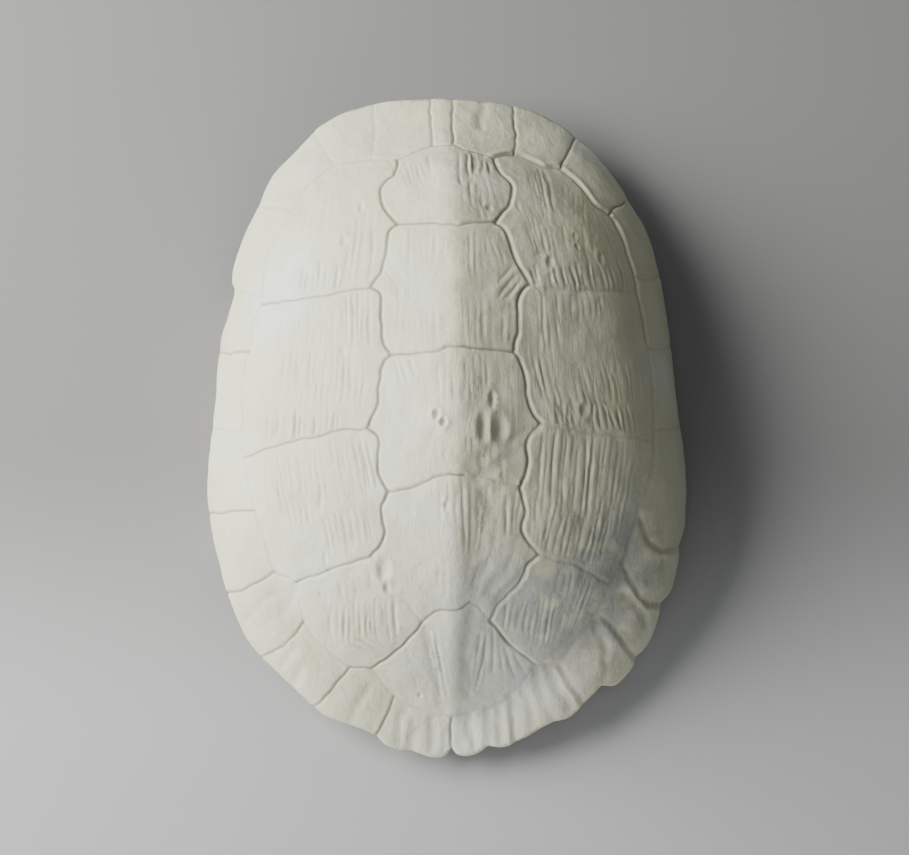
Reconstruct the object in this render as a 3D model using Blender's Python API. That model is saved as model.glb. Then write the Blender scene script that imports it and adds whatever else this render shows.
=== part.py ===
"""Top shell (carapace) of a river turtle, sawn free along both bridges and lying dome up.

The shell is one hollow piece. +Z is up, +Y points to the head and the origin is midway under it.
Its rim, seams and marks are drawn on a flat sheet that is square to one line of sight, which leans
a little to the tail and to the left. Each drawn point is dropped along its sight line on to a smooth
dome. The dome is then unrolled into a flat map that keeps lengths along the surface nearly true, and
the mesh is laid out on that map. Lengths are in millimetres until the mesh is made.
"""

import math

import bmesh
import bpy
import numpy as np
from mathutils import Vector
from mathutils.geometry import delaunay_2d_cdt

METRES_PER_MM = 0.001

# The dome
APEX_HEIGHT = 88.0
HALF_LENGTH = 135.0
HALF_WIDTH = 97.0
WALL = 5.0
RIM_HEIGHTS = ((0, 29), (20, 24), (38, 18), (62, 14.5), (90, 14), (118, 15), (142, 16), (164, 12), (180, 10))
# Each profile pairs the share of the way to the rim with the share of the height that is left there.
FRONT_PROFILE = ((0, 1), (0.13, 0.986), (0.35, 0.91), (0.54, 0.785), (0.7, 0.57), (0.823, 0.28), (1, 0))
SIDE_PROFILE = (
    (0, 1), (0.17, 0.98), (0.33, 0.927), (0.5, 0.832), (0.67, 0.7), (0.76, 0.6), (0.92, 0.3), (1, 0),
)
REAR_PROFILE = (
    (0, 1), (0.12, 0.98), (0.25, 0.91), (0.45, 0.76), (0.61, 0.57), (0.75, 0.33), (0.87, 0.11), (1, 0),
)
REAR_REACH = 1.4
RIM_HARMONICS = 9

# The dome is a little roofed: it falls away on both sides of the keel, which is rounded on top.
ROOF_SLOPE = 0.3
ROOF_DROP = 6.0
ROOF_ROUND = 6.0
ROOF_MIDDLE = -1.5

# The sawn bridges that the shell rests on
FOOT_REAR, FOOT_FRONT = -46.0, 48.0
FOOT_FADE = 22.0
FOOT_INSET = 5.5
FOOT_WIDTH = 5.0
FOOT_INNER_HEIGHT = 12.0
BRIDGE_EDGE = 2.2
BRIDGE_WAIST = 3.6
BRIDGE_WAIST_SHARE = 0.45

# The rim's edge, and how far in and how deep each ring of its underside lies
EDGE_ROUND = 1.0
LIP_EDGE = 1.8
LIP_RINGS = ((3.0, 3.8), (8.0, 5.4), (12.0, 5.8), (14.0, 5.5))

# The ridge of backbone under the dome
SPINE_HEIGHT = 5.0
SPINE_WIDTH = 6.0
SPINE_REACH = 92.0

# The sheet and its line of sight
DRAWING_UNIT = 0.405
DRAWING_CENTRE = np.array((447.0, 427.0))
SIGHT_LEAN_TO_TAIL = math.radians(12.0)
SIGHT_LEAN_TO_LEFT = math.radians(4.0)
SIGHT_DISTANCE = 1000.0
SIGHT_CENTRE = np.array((0.0, 0.0, 20.0))

# The rim as drawn, clockwise from the neck. Neighbouring arcs meet at a notch or a corner.
RIM_ARCS = (
    ((430, 99), (441, 98.3), (452.5, 99.6)),
    ((452.5, 99.6), (468, 99.8), (482.5, 101)),
    ((482.5, 101), (498, 102), (513, 104.5)),
    ((513, 104.5), (532, 109.5), (550, 116.5), (566, 127), (576, 134.5)),
    ((576, 134.5), (586, 143.5), (596, 153), (608, 170), (620, 188), (626, 200)),
    ((626, 200), (635, 212.5), (644, 224), (654, 248), (661, 275)),
    ((661, 275), (664, 300), (668, 319), (671, 345)),
    ((671, 345), (673.5, 370), (676, 400), (680, 425)),
    ((680, 425), (684, 443), (686.5, 465), (687, 490), (685, 522), (677.5, 547)),
    ((677.5, 547), (678.5, 560), (676, 576), (670, 591), (660, 603)),
    ((660, 603), (657.5, 620), (652, 637), (645, 648), (637, 656)),
    ((637, 656), (632, 668), (617, 683), (601, 685)),
    ((601, 685), (593, 693), (584, 703)),
    ((584, 703), (576, 711), (568, 717), (554, 721)),
    ((554, 721), (543, 726), (530, 734), (516, 741)),
    ((516, 741), (508, 744.5), (501, 746), (488, 745)),
    ((488, 745), (478, 752), (467, 755), (457, 753), (451.5, 747)),
    ((451.5, 747), (445, 755), (434, 756.5), (422, 753.5), (412, 750)),
    ((412, 750), (399, 749), (386, 744), (376, 735)),
    ((376, 735), (371, 732.5), (358, 727), (343, 722), (328, 716), (313, 706)),
    ((313, 706), (303, 696), (292, 686)),
    ((292, 686), (275, 669), (261, 656)),
    ((261, 656), (253, 646), (244, 632), (236, 615), (226, 592)),
    ((226, 592), (220, 567), (215, 547), (211, 528), (208.5, 512)),
    ((208.5, 512), (207.5, 490), (208, 470), (210.5, 446), (213, 428)),
    ((213, 428), (215.5, 403), (217, 380), (219, 351)),
    ((219, 351), (221, 334), (228, 316), (233.5, 300), (235, 289)),
    ((235, 289), (232.7, 280), (234, 265), (242, 239), (251, 221), (259, 206)),
    ((259, 206), (265, 192), (273, 175), (287, 160), (304, 142), (313, 131)),
    ((313, 131), (321, 123.5), (347, 109.5), (360, 106), (372, 102.8)),
    ((372, 102.8), (386, 101), (402, 100), (416, 99.2), (430, 99)),
)

# Seams between the middle row of plates and the ribs' plates
DEEP_SEAMS = (
    ((397, 157), (397.5, 166), (395, 173), (387, 179), (381, 188), (381, 199), (387, 212), (397, 222.5)),
    ((397, 222.5), (389.5, 229), (387.5, 240), (385, 256), (380.5, 271), (370, 286)),
    ((370, 286), (378.5, 291), (381, 300), (381, 324), (384, 343), (390.5, 354)),
    ((390.5, 354), (383, 362), (379, 380), (377, 403), (367, 427)),
    ((367, 427), (375.5, 433), (378.5, 444), (378.5, 471), (388, 491)),
    ((388, 491), (382, 503), (381.5, 518), (384, 532), (380.5, 545), (370, 556)),
    ((422, 622), (416, 631), (396, 650), (371, 669)),
    ((494, 157), (500, 171), (510, 180), (513, 190), (509.5, 202), (502.5, 212), (496, 222)),
    ((496, 222), (504, 227), (509, 239), (514, 253), (520, 268), (530, 283)),
    ((530, 283), (523, 288), (519, 297), (518, 310), (518.5, 330), (514, 351)),
    ((514, 351), (521, 361), (525.5, 378), (528, 395), (532, 409), (541, 422)),
    ((541, 422), (531, 433), (527, 444), (527.5, 460), (525, 473), (520, 487)),
    ((520, 487), (524, 500), (526, 511), (523, 522), (523.5, 531), (529, 543), (539, 554)),
    ((539, 554), (529, 562), (523.5, 575), (517.5, 585), (505, 596), (498, 605), (490, 620)),
    ((490, 620), (501, 634), (516, 648), (527, 657), (536, 665)),
)

# Seams across the middle row, between the ribs' plates on the left, and round the rim's plates
PLAIN_SEAMS = (
    ((397, 222.5), (412, 221.5), (434, 222.5), (443, 224), (452, 222.5), (460, 224), (472, 221), (496, 220)),
    ((390.5, 354), (400, 352.5), (424, 350.5), (440, 348.5), (448, 346), (463, 346), (476, 348), (514, 351)),
    ((388, 491), (400, 488.5), (411, 487.5), (424, 482), (438, 476), (447, 474), (463, 474)),
    ((422, 622), (430, 615.5), (438, 610.5), (450, 609.5), (460, 607), (470, 601)),
    ((397, 157), (404, 155), (416, 149.5), (431, 144.5), (453, 144), (463, 147), (480, 151.5), (494, 156)),
    ((430.5, 99), (431, 120), (432, 144.3)),
    ((452.5, 99.6), (452.5, 144)),
    ((370, 286), (352, 288.5), (335, 292.5), (310, 296), (289, 299), (271, 300.5), (261, 303)),
    ((367, 427), (350, 428.5), (335, 430.5), (318, 435), (302, 438), (285, 442.5), (265, 448.5), (243, 457)),
    ((370, 556), (358, 560), (344, 564), (328, 569), (312, 576), (295, 582.5)),
    ((371, 669), (361, 667.5), (350, 667)),
    ((494, 156), (514, 154), (530, 158), (545, 165.5), (560.5, 168), (578, 183), (596, 205), (609.5, 214)),
    ((609.5, 214), (621, 235), (633, 271), (637, 291), (642, 313), (647, 340)),
    ((647, 340), (651, 365), (653.5, 400), (654.5, 430), (655, 455), (651, 477), (646, 497), (641, 513)),
    ((641, 513), (633, 538), (626, 566), (613, 585), (599, 617), (579, 640), (558, 663), (536, 665)),
    ((219, 351), (229, 352.5), (234, 351), (248.5, 350.5)),
    ((208.5, 512), (222, 512), (230, 510.5), (254, 510)),
    ((226, 592), (240, 590.5), (248, 587), (262, 579.5), (274, 571.5)),
    ((261, 656), (270, 652), (281, 645.5), (293, 635), (303, 622)),
    ((313, 706), (322, 699), (334, 686), (350, 667)),
    ((376, 735), (382, 723), (387, 715.5), (390, 708), (394, 697)),
    ((451.5, 747), (451, 733), (452, 716.5)),
    ((513, 104.5), (514.5, 125), (516, 138), (514, 154)),
    ((576, 134.5), (572, 143), (568, 152), (560.5, 168)),
    ((626, 200), (621, 205), (615, 206.5), (609.5, 214)),
    ((677.5, 547), (664, 549), (651, 541), (641, 513)),
    ((660, 603), (648, 601), (640, 595), (633, 580), (626, 566)),
    ((637, 656), (624, 640), (612, 624), (599, 617)),
    ((584, 703), (578, 692), (570, 680), (558, 663)),
    ((516, 741), (514, 728), (513, 710), (511, 696.5)),
)

# Seams that are worn almost away
FAINT_SEAMS = (
    ((463, 474), (485, 476), (505, 481), (520, 487)),
    ((470, 601), (480, 608), (490, 620)),
    ((370, 556), (378, 563), (381, 575), (386, 589), (398, 597), (409, 604), (414, 613), (422, 622)),
    ((397, 157), (384, 158.5), (370, 158), (347, 160), (334, 165), (309, 184), (292, 209)),
    ((292, 209), (276, 234), (267, 255), (262.5, 288), (261, 303), (255, 316), (250.5, 331), (248.5, 350.5)),
    ((248.5, 350.5), (243.5, 367), (242, 400), (242.5, 438), (243, 457), (246.5, 478), (254, 510)),
    ((254, 510), (259, 526), (266, 548), (274, 571.5), (285, 576), (295, 582.5), (299, 600), (303, 622)),
    ((303, 622), (316, 640), (332, 655), (350, 667)),
    ((371, 669), (384, 685), (396, 698), (411, 706), (436, 714), (452, 716.5)),
    ((452, 716.5), (473, 712), (496, 706), (511, 696.5), (523, 684), (536, 665)),
    ((530, 283), (548, 287), (570, 289), (600, 290), (637, 291)),
    ((541, 422), (565, 428), (600, 433), (654.5, 440)),
    ((539, 554), (556, 559), (575, 564), (613, 585)),
    ((372, 102.8), (375, 125), (373.5, 145), (371, 158)),
    ((313, 131), (322, 146), (334, 165)),
    ((259, 206), (272, 206), (292, 209)),
    ((235, 289), (246, 291), (262, 295)),
    ((213, 428), (228, 430), (242.5, 428)),
    ((661, 275), (648, 279), (634, 276)),
    ((671, 345), (660, 348), (648, 346)),
    ((680, 425), (668, 428), (654.5, 428)),
)

# Soft creases that run in from the rim, the channels beside the last keel, and folds in the plates
CREASES = (
    ((482.5, 101), (482, 112), (481, 126)),
    ((292, 686), (298, 677), (302, 664)),
    ((601, 685), (607, 672), (606, 655), (604, 638), (598, 622)),
    ((554, 721), (546, 709), (541, 694), (538, 680), (536, 668)),
    ((488, 745), (488, 728), (488, 710)),
    ((412, 750), (413, 735), (414, 722)),
    ((426, 630), (430, 655), (435, 678), (440, 702)),
    ((472, 612), (468, 640), (466, 668), (467, 694)),
    ((470, 465), (490, 450), (514, 436), (536, 427)),
    ((474, 588), (478, 576), (486, 565)),
    ((295, 584), (291, 598), (283, 612)),
)

# Growth folds: the first and last groove of each family, as start and end, and how many there are
GROWTH_FOLDS = (
    (((545, 426), (541, 497)), ((590, 426), (585, 500)), 6),
    (((575, 350), (581, 386)), ((621, 350), (628, 386)), 6),
    (((533, 262), (538, 284)), ((613, 262), (620, 284)), 8),
    (((539, 296), (542, 330)), ((592, 296), (597, 326)), 6),
    (((461, 154), (462, 190)), ((485, 158), (488, 190)), 3),
    (((508, 600), (504, 640)), ((549, 600), (545, 640)), 5),
    (((332, 440), (343, 494)), ((359, 438), (366, 490)), 4),
    (((346, 296), (346, 342)), ((363, 296), (363, 342)), 3),
)

# The keel down the middle row, and how high it stands at each drawn point
KEEL_LINE = ((450, 170), (452, 222), (456, 350), (458, 420), (459, 480), (457, 560), (453, 640), (453, 712))
KEEL_HEIGHTS = (0.3, 0.2, 0.2, 0.3, 0.5, 0.8, 1.7, 0.8)
KEEL_WIDTH = 5.0

# Pits and dents: where, half size across and along in millimetres, and depth
PITS = (
    ((436.5, 413), (1.1, 1.7), 1.4),
    ((443.5, 421), (1.0, 1.5), 1.2),
    ((483, 426), (1.8, 4.4), 1.2),
    ((499, 427), (2.6, 4.0), 1.4),
    ((492, 398), (1.1, 2.8), 0.9),
    ((489, 207), (1.2, 1.4), 0.5),
    ((575, 235), (0.9, 1.3), 0.4),
    ((577, 246), (0.9, 0.9), 0.4),
    ((550, 261), (1.4, 2.1), 0.6),
    ((601, 257), (1.2, 2.5), 0.5),
    ((584, 409), (1.5, 2.2), 0.7),
    ((344, 240), (1.3, 2.4), 0.7),
    ((361, 206), (0.9, 2.8), 0.6),
    ((384, 569), (2.2, 3.8), 0.9),
    ((387, 586), (1.1, 2.4), 0.7),
    ((320, 500), (0.9, 3.6), 0.5),
    ((325, 558), (0.9, 2.8), 0.4),
    ((343, 350), (1.2, 2.0), 0.4),
    ((446, 505), (0.8, 1.8), 0.5),
    ((227, 531), (1.2, 2.0), 0.5),
    ((420, 695), (1.0, 1.3), 0.4),
)

# Half width and depth of each kind of groove
DEEP_GROOVE = (1.7, 1.1)
PLAIN_GROOVE = (1.3, 0.85)
FAINT_GROOVE = (1.6, 0.4)
CREASE_GROOVE = (2.4, 0.7)
FOLD_GROOVE = (1.2, 0.45)
PLATE_EDGE_DROP = 0.45
PLATE_EDGE_WIDTH = 4.0

# How far apart the mesh's points lie
RIM_SPACING = 5.6
SEAM_SPACING = 4.6
FILL_SPACING = 7.6
INNER_SPACING = 10.5
LEAST_GAP = 1.0
FILL_CLEARANCE = 0.62
PIT_RING = 1.3
MAP_REACH = 190.0
INNER_RING_DEPTH = 16.0


def cubic_through(keys, at):
    """Values of a smooth curve through (position, value) keys, with no overshoot between them."""
    x, y = np.array(keys, float).T
    gap = np.diff(x)
    slope = np.diff(y) / gap
    product = slope[:-1] * slope[1:]
    safe_sum = np.where(product > 0, slope[:-1] + slope[1:], 1.0)
    inner = np.where(product > 0, 2 * product / safe_sum, 0.0)
    tangent = np.concatenate([slope[:1], inner, slope[-1:]])
    span = np.clip(np.searchsorted(x, at, side="right") - 1, 0, len(gap) - 1)
    t = (at - x[span]) / gap[span]
    inside = np.clip(t, 0, 1)
    cube, square = inside**3, inside**2
    value = (2 * cube - 3 * square + 1) * y[span] + (3 * square - 2 * cube) * y[span + 1]
    value += gap[span] * ((cube - 2 * square + inside) * tangent[span] + (cube - square) * tangent[span + 1])
    return value + (t - inside) * gap[span] * np.where(t > 1, tangent[span + 1], tangent[span])


def level_at_start(keys):
    """The keys with their mirror images before the first one, so that the curve starts level."""
    return tuple((-x, y) for x, y in keys[:0:-1]) + keys


def even_steps(line, spacing):
    """The line again, as points an even distance apart, close to the spacing."""
    run = np.concatenate([[0], np.cumsum(np.linalg.norm(np.diff(line, axis=0), axis=1))])
    count = max(2, round(run[-1] / spacing) + 1)
    stops = np.linspace(0, run[-1], count)
    return np.column_stack([np.interp(stops, run, values) for values in line.T])


def smooth_line(points):
    """A Catmull-Rom curve through the points, finely stepped."""
    points = np.array(points, float)
    before, after = 2 * points[0] - points[1], 2 * points[-1] - points[-2]
    p = np.vstack([before, points, after])
    t = np.linspace(0, 1, 9)[:-1, None]
    spans = []
    for a, b, c, d in zip(p, p[1:], p[2:], p[3:]):
        spans.append(b + 0.5 * t * (c - a + t * (2 * a - 5 * b + 4 * c - d + t * (3 * b - a - 3 * c + d))))
    return np.vstack(spans + [points[-1:]])


def sight_axes():
    """The sheet's right and up directions, and the direction back to the eye."""
    side, tail = SIGHT_LEAN_TO_LEFT, SIGHT_LEAN_TO_TAIL
    to_eye = np.array((-math.sin(side) * math.cos(tail), -math.sin(tail), math.cos(side) * math.cos(tail)))
    right = np.array((math.cos(side), 0.0, math.sin(side)))
    return right, np.cross(to_eye, right), to_eye


def on_sight_lines(drawn, height):
    """Where the sight lines through drawn points pass through a height, in plan."""
    right, up, to_eye = sight_axes()
    eye = SIGHT_CENTRE + SIGHT_DISTANCE * to_eye
    offset = (drawn - DRAWING_CENTRE) * DRAWING_UNIT
    rays = SIGHT_CENTRE + offset[:, :1] * right - offset[:, 1:] * up - eye
    share = (height - eye[2]) / rays[:, 2]
    return (eye + rays * share[:, None])[:, :2]


def rim_height(plan):
    """Height of the rim on the bearing of each plan point."""
    bearing = np.degrees(np.arctan2(np.abs(plan[:, 0]) / HALF_WIDTH, plan[:, 1] / HALF_LENGTH))
    return cubic_through(level_at_start(RIM_HEIGHTS), bearing)


def drawn_rim(spacing):
    """The rim in plan, as points that step round it with one at each end of each arc."""
    arcs = [even_steps(smooth_line(arc), spacing / DRAWING_UNIT)[:-1] for arc in RIM_ARCS]
    drawn = np.vstack(arcs)
    plan = on_sight_lines(drawn, rim_height(drawn * (1, -1) + DRAWING_CENTRE * (-1, 1)))
    for _ in range(6):
        plan = on_sight_lines(drawn, rim_height(plan))
    return plan


def rim_waves():
    """The rim's even outline without its notches, as a short sum of waves of the bearing."""
    rim = drawn_rim(1.5)
    bearing = np.arctan2(rim[:, 0], rim[:, 1])
    turn = np.radians(np.arange(360))
    radius = np.interp(turn, bearing, np.hypot(*rim.T), period=2 * math.pi)
    waves = np.fft.rfft(radius)[:RIM_HARMONICS] / 180
    waves[0] /= 2
    return waves


RIM_WAVES = rim_waves()


def even_radius(bearing):
    """Plan radius of the even outline on each bearing."""
    orders = np.arange(RIM_HARMONICS)
    return (RIM_WAVES * np.exp(1j * orders * bearing[:, None])).real.sum(axis=1)


def dome_height(plan):
    """Height of the smooth dome over plan points."""
    bearing = np.arctan2(plan[:, 0], plan[:, 1])
    share = np.hypot(*plan.T) / even_radius(bearing)
    oval = np.arctan2(plan[:, 0] / HALF_WIDTH, plan[:, 1] / HALF_LENGTH)
    front, rear = np.maximum(np.cos(oval), 0) ** 2, np.maximum(-np.cos(oval), 0) ** REAR_REACH
    left = front * cubic_through(level_at_start(FRONT_PROFILE), share)
    left += rear * cubic_through(level_at_start(REAR_PROFILE), share)
    left += (1 - front - rear) * cubic_through(level_at_start(SIDE_PROFILE), share)
    rim = rim_height(plan)
    fall = ROOF_SLOPE * (np.hypot(plan[:, 0] - ROOF_MIDDLE, ROOF_ROUND) - ROOF_ROUND)
    roof = ROOF_DROP * np.tanh(fall / ROOF_DROP) * np.clip(1 - share**4, 0, 1)
    return rim + (APEX_HEIGHT - rim) * left - roof


def drop_on_dome(drawn):
    """Plan positions where the sight lines through drawn points meet the dome."""
    height = np.full(len(drawn), APEX_HEIGHT / 2)
    for _ in range(40):
        plan = on_sight_lines(drawn, height)
        height = dome_height(plan)
    return plan


class FlatMap:
    """The dome unrolled round its apex: a point keeps its bearing and its distance along the surface."""

    RIM_MARGIN = 1.1
    STEPS = 440

    def __init__(self):
        self.bearings = np.radians(np.arange(361) - 180.0)
        self.shares = np.linspace(0, self.RIM_MARGIN, self.STEPS + 1)
        reach = even_radius(self.bearings)[:, None] * self.shares
        way = np.stack([np.sin(self.bearings), np.cos(self.bearings)], axis=1)
        plan = reach[:, :, None] * way[:, None, :]
        height = dome_height(plan.reshape(-1, 2)).reshape(reach.shape)
        steps = np.hypot(np.diff(reach, axis=1), np.diff(height, axis=1))
        self.runs = np.hstack([np.zeros((361, 1)), np.cumsum(steps, axis=1)])

    def rows(self, bearing):
        """The two table rows beside each bearing, and how far between them it lies."""
        row = np.degrees(bearing) + 180.0
        low = np.clip(np.floor(row).astype(int), 0, 359)
        return low, row - low

    def run_at(self, bearing, share):
        low, part = self.rows(bearing)
        column = np.clip(share / self.RIM_MARGIN * self.STEPS, 0, self.STEPS - 1e-6)
        left = column.astype(int)
        across = column - left
        near = self.runs[low, left] * (1 - across) + self.runs[low, left + 1] * across
        far = self.runs[low + 1, left] * (1 - across) + self.runs[low + 1, left + 1] * across
        return near * (1 - part) + far * part

    def share_at(self, bearing, run):
        low_share, high_share = np.zeros(len(run)), np.full(len(run), self.RIM_MARGIN)
        for _ in range(30):
            middle = (low_share + high_share) / 2
            short = self.run_at(bearing, middle) < run
            low_share = np.where(short, middle, low_share)
            high_share = np.where(short, high_share, middle)
        return (low_share + high_share) / 2

    def from_plan(self, plan):
        bearing = np.arctan2(plan[:, 0], plan[:, 1])
        run = self.run_at(bearing, np.hypot(*plan.T) / even_radius(bearing))
        return np.column_stack([run * np.sin(bearing), run * np.cos(bearing)])

    def to_dome(self, flat):
        bearing = np.arctan2(flat[:, 0], flat[:, 1])
        radius = self.share_at(bearing, np.hypot(*flat.T)) * even_radius(bearing)
        plan = np.column_stack([radius * np.sin(bearing), radius * np.cos(bearing)])
        return np.column_stack([plan, dome_height(plan)])

    def normals(self, flat):
        step = 0.6
        along_x = self.to_dome(flat + (step, 0)) - self.to_dome(flat - (step, 0))
        along_y = self.to_dome(flat + (0, step)) - self.to_dome(flat - (0, step))
        cross = np.cross(along_x, along_y)
        return cross / np.linalg.norm(cross, axis=1)[:, None]

    def drop(self, points, spacing):
        """A drawn line as flat points an even distance apart."""
        return even_steps(self.from_plan(drop_on_dome(smooth_line(points))), spacing)


def near_line(flat, line, reach):
    """Which points lie within reach of a line, how far off each is, and how far along, from 0 to 1."""
    near = np.flatnonzero(((flat > line.min(0) - reach) & (flat < line.max(0) + reach)).all(axis=1))
    starts, ways = line[:-1], np.diff(line, axis=0)
    offsets = flat[near][:, None] - starts
    part = np.clip((offsets * ways).sum(2) / (ways**2).sum(1), 0, 1)
    gaps = np.linalg.norm(offsets - part[:, :, None] * ways, axis=2)
    closest = gaps.argmin(axis=1)
    rows = np.arange(len(near))
    return near, gaps[rows, closest], (closest + part[rows, closest]) / len(ways)


def cut_groove(relief, flat, line, groove, drops_edges):
    """Cuts one groove, round in section, and lowers the plates' edges a little on both sides."""
    half_width, depth = groove
    near, gap, _ = near_line(flat, line, 2.5 * PLATE_EDGE_WIDTH)
    cut = -depth * np.maximum(1 - (gap / half_width) ** 2, 0) ** 1.5
    relief["cut"][near] = np.minimum(relief["cut"][near], cut)
    if drops_edges:
        drop = -PLATE_EDGE_DROP * np.exp(-((gap / PLATE_EDGE_WIDTH) ** 2))
        relief["edge"][near] = np.minimum(relief["edge"][near], drop)


def surface_relief(flat, lines, keel, pits):
    """How far the worked surface stands above the smooth dome at flat points."""
    relief = {"cut": np.zeros(len(flat)), "edge": np.zeros(len(flat))}
    for line, groove, drops_edges in lines:
        cut_groove(relief, flat, line, groove, drops_edges)
    total = relief["cut"] + relief["edge"]
    near, gap, along = near_line(flat, keel, 3 * KEEL_WIDTH)
    spots = np.linspace(0, 1, len(KEEL_HEIGHTS))
    total[near] += np.interp(along, spots, KEEL_HEIGHTS) * np.exp(-((gap / KEEL_WIDTH) ** 2))
    for centre, half_size, depth in pits:
        away = (((flat - centre) / half_size) ** 2).sum(axis=1)
        total -= depth * np.exp(-away)
    return total


class Sieve:
    """Collects points and leaves out each one that is too near to one already kept."""

    def __init__(self):
        self.kept = []
        self.cells = {}

    def crowded(self, point, gap):
        column, row = math.floor(point[0] / FILL_SPACING), math.floor(point[1] / FILL_SPACING)
        for i in (column - 1, column, column + 1):
            for j in (row - 1, row, row + 1):
                if any(math.dist(point, other) < gap for other in self.cells.get((i, j), ())):
                    return True
        return False

    def add(self, points, gap):
        for point in points:
            if gap and self.crowded(point, gap):
                continue
            self.kept.append(point)
            cell = math.floor(point[0] / FILL_SPACING), math.floor(point[1] / FILL_SPACING)
            self.cells.setdefault(cell, []).append(point)


def beside(line, offset):
    """Points beside a line's own points, at an offset to its left."""
    ways = np.gradient(line, axis=0)
    ways /= np.linalg.norm(ways, axis=1)[:, None]
    return line + offset * ways[:, ::-1] * (-1, 1)


def hexagon_grid(reach, spacing):
    """Points of an even triangular grid that covers a square."""
    count = int(reach / spacing) + 2
    columns, rows = np.meshgrid(np.arange(-count, count + 1), np.arange(-count, count + 1))
    x = (columns + 0.5 * (rows % 2)) * spacing
    return np.column_stack([x.ravel(), (rows * spacing * math.sqrt(3) / 2).ravel()])


def inside_ring(flat, ring, margin):
    """The points that lie inside a ring round the apex by at least a margin."""
    bearing = np.arctan2(flat[:, 0], flat[:, 1])
    ring_bearing = np.arctan2(ring[:, 0], ring[:, 1])
    limit = np.interp(bearing, ring_bearing, np.hypot(*ring.T), period=2 * math.pi)
    return flat[np.hypot(*flat.T) < limit - margin]


def clear_of_others(points, own, lines):
    """The points that aren't in another line's groove."""
    clear = np.ones(len(points), bool)
    for index, (line, (half_width, _), _) in enumerate(lines):
        if index != own:
            near, gap, _ = near_line(points, line, half_width)
            clear[near[gap < 0.8 * half_width]] = False
    return points[clear]


def outer_points(rim, lines, pits):
    """Flat points of the outer mesh: the rim, rows along every groove, pits and an even filling."""
    sieve = Sieve()
    sieve.add(rim, 0)
    for line, _, _ in lines:
        sieve.add(inside_ring(line, rim, LEAST_GAP), 2 * LEAST_GAP)
    for index, (line, (half_width, _), _) in enumerate(lines):
        for offset in (half_width, -half_width):
            row = clear_of_others(beside(line, offset), index, lines)
            sieve.add(inside_ring(row, rim, LEAST_GAP), LEAST_GAP)
    turn = np.radians(np.arange(0, 360, 60))
    circle = PIT_RING * np.column_stack([np.cos(turn), np.sin(turn)])
    for centre, half_size, _ in pits:
        sieve.add([centre, *(centre + half_size * circle)], LEAST_GAP)
    grid = hexagon_grid(MAP_REACH, FILL_SPACING)
    sieve.add(inside_ring(grid, rim, 0.5 * FILL_SPACING), FILL_CLEARANCE * FILL_SPACING)
    return np.array(sieve.kept)


def fold_lines():
    """The drawn growth folds, spread evenly between the first and last of each family."""
    lines = []
    for first, last, count in GROWTH_FOLDS:
        first, last = np.array(first, float), np.array(last, float)
        lines += [first + (last - first) * share for share in np.linspace(0, 1, count)]
    return lines


def triangles_inside(points, ring_size):
    """Delaunay triangles of flat points whose first ones are the boundary ring."""
    vectors = [Vector(point) for point in points]
    ring = [(i, (i + 1) % ring_size) for i in range(ring_size)]
    _, _, faces, origins, _, _ = delaunay_2d_cdt(vectors, ring, [], 1, 1e-7)
    source = [origin[0] for origin in origins]
    return [tuple(source[corner] for corner in face) for face in faces]


def foot_share(y):
    """1 along the sawn bridges, 0 away from them, with a smooth change between."""
    rear = np.clip((y - FOOT_REAR + FOOT_FADE) / FOOT_FADE, 0, 1)
    front = np.clip((FOOT_FRONT + FOOT_FADE - y) / FOOT_FADE, 0, 1)
    share = np.minimum(rear, front)
    return (share * share * (3 - 2 * share))[:, None]


def moved_in(rim, distance, height):
    """The rim's points moved inwards in plan, at a new height."""
    way = rim[:, :2] / (HALF_WIDTH**2, HALF_LENGTH**2)
    way /= np.linalg.norm(way, axis=1)[:, None]
    return np.column_stack([rim[:, :2] - distance * way, height])


def under_dome(dome, flat_rim, even_rim, inset, depth):
    """Points a way in from the rim along the surface, and a depth below it."""
    blend = inset / INNER_RING_DEPTH
    line = flat_rim * (1 - blend) + even_rim * blend
    run = np.linalg.norm(line, axis=1)[:, None]
    flat = line * (1 - inset / run)
    return dome.to_dome(flat) - depth * dome.normals(flat), flat


def under_rings(dome, rim, even_plan, flat_rim, even_rim):
    """Rings that turn the wall under at the rim, and down to the sawn bridges at the sides."""
    foot = foot_share(rim[:, 1])
    low = 0 * rim[:, 2]
    lip = [moved_in(rim, EDGE_ROUND, rim[:, 2] - LIP_EDGE)]
    for inset, depth in LIP_RINGS:
        lip.append(under_dome(dome, flat_rim, even_rim, inset, depth)[0])
    bridge = [
        moved_in(rim, EDGE_ROUND, rim[:, 2] - BRIDGE_EDGE),
        moved_in(even_plan, BRIDGE_WAIST, BRIDGE_WAIST_SHARE * rim[:, 2]),
        moved_in(even_plan, FOOT_INSET, low),
        moved_in(even_plan, FOOT_INSET + FOOT_WIDTH, low),
        moved_in(even_plan, FOOT_INSET + FOOT_WIDTH, low + FOOT_INNER_HEIGHT),
    ]
    return [a + (b - a) * foot for a, b in zip(lip, bridge)]


def inner_wall(dome, flat, wall):
    """Points of the hollow's surface, with the backbone's ridge standing down from it."""
    ridge = SPINE_HEIGHT * np.exp(-((flat[:, 0] / SPINE_WIDTH) ** 2))
    ends = np.clip((SPINE_REACH - np.abs(flat[:, 1])) / SPINE_WIDTH, 0, 1)
    return dome.to_dome(flat) - (wall + ridge * ends)[:, None] * dome.normals(flat)


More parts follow.
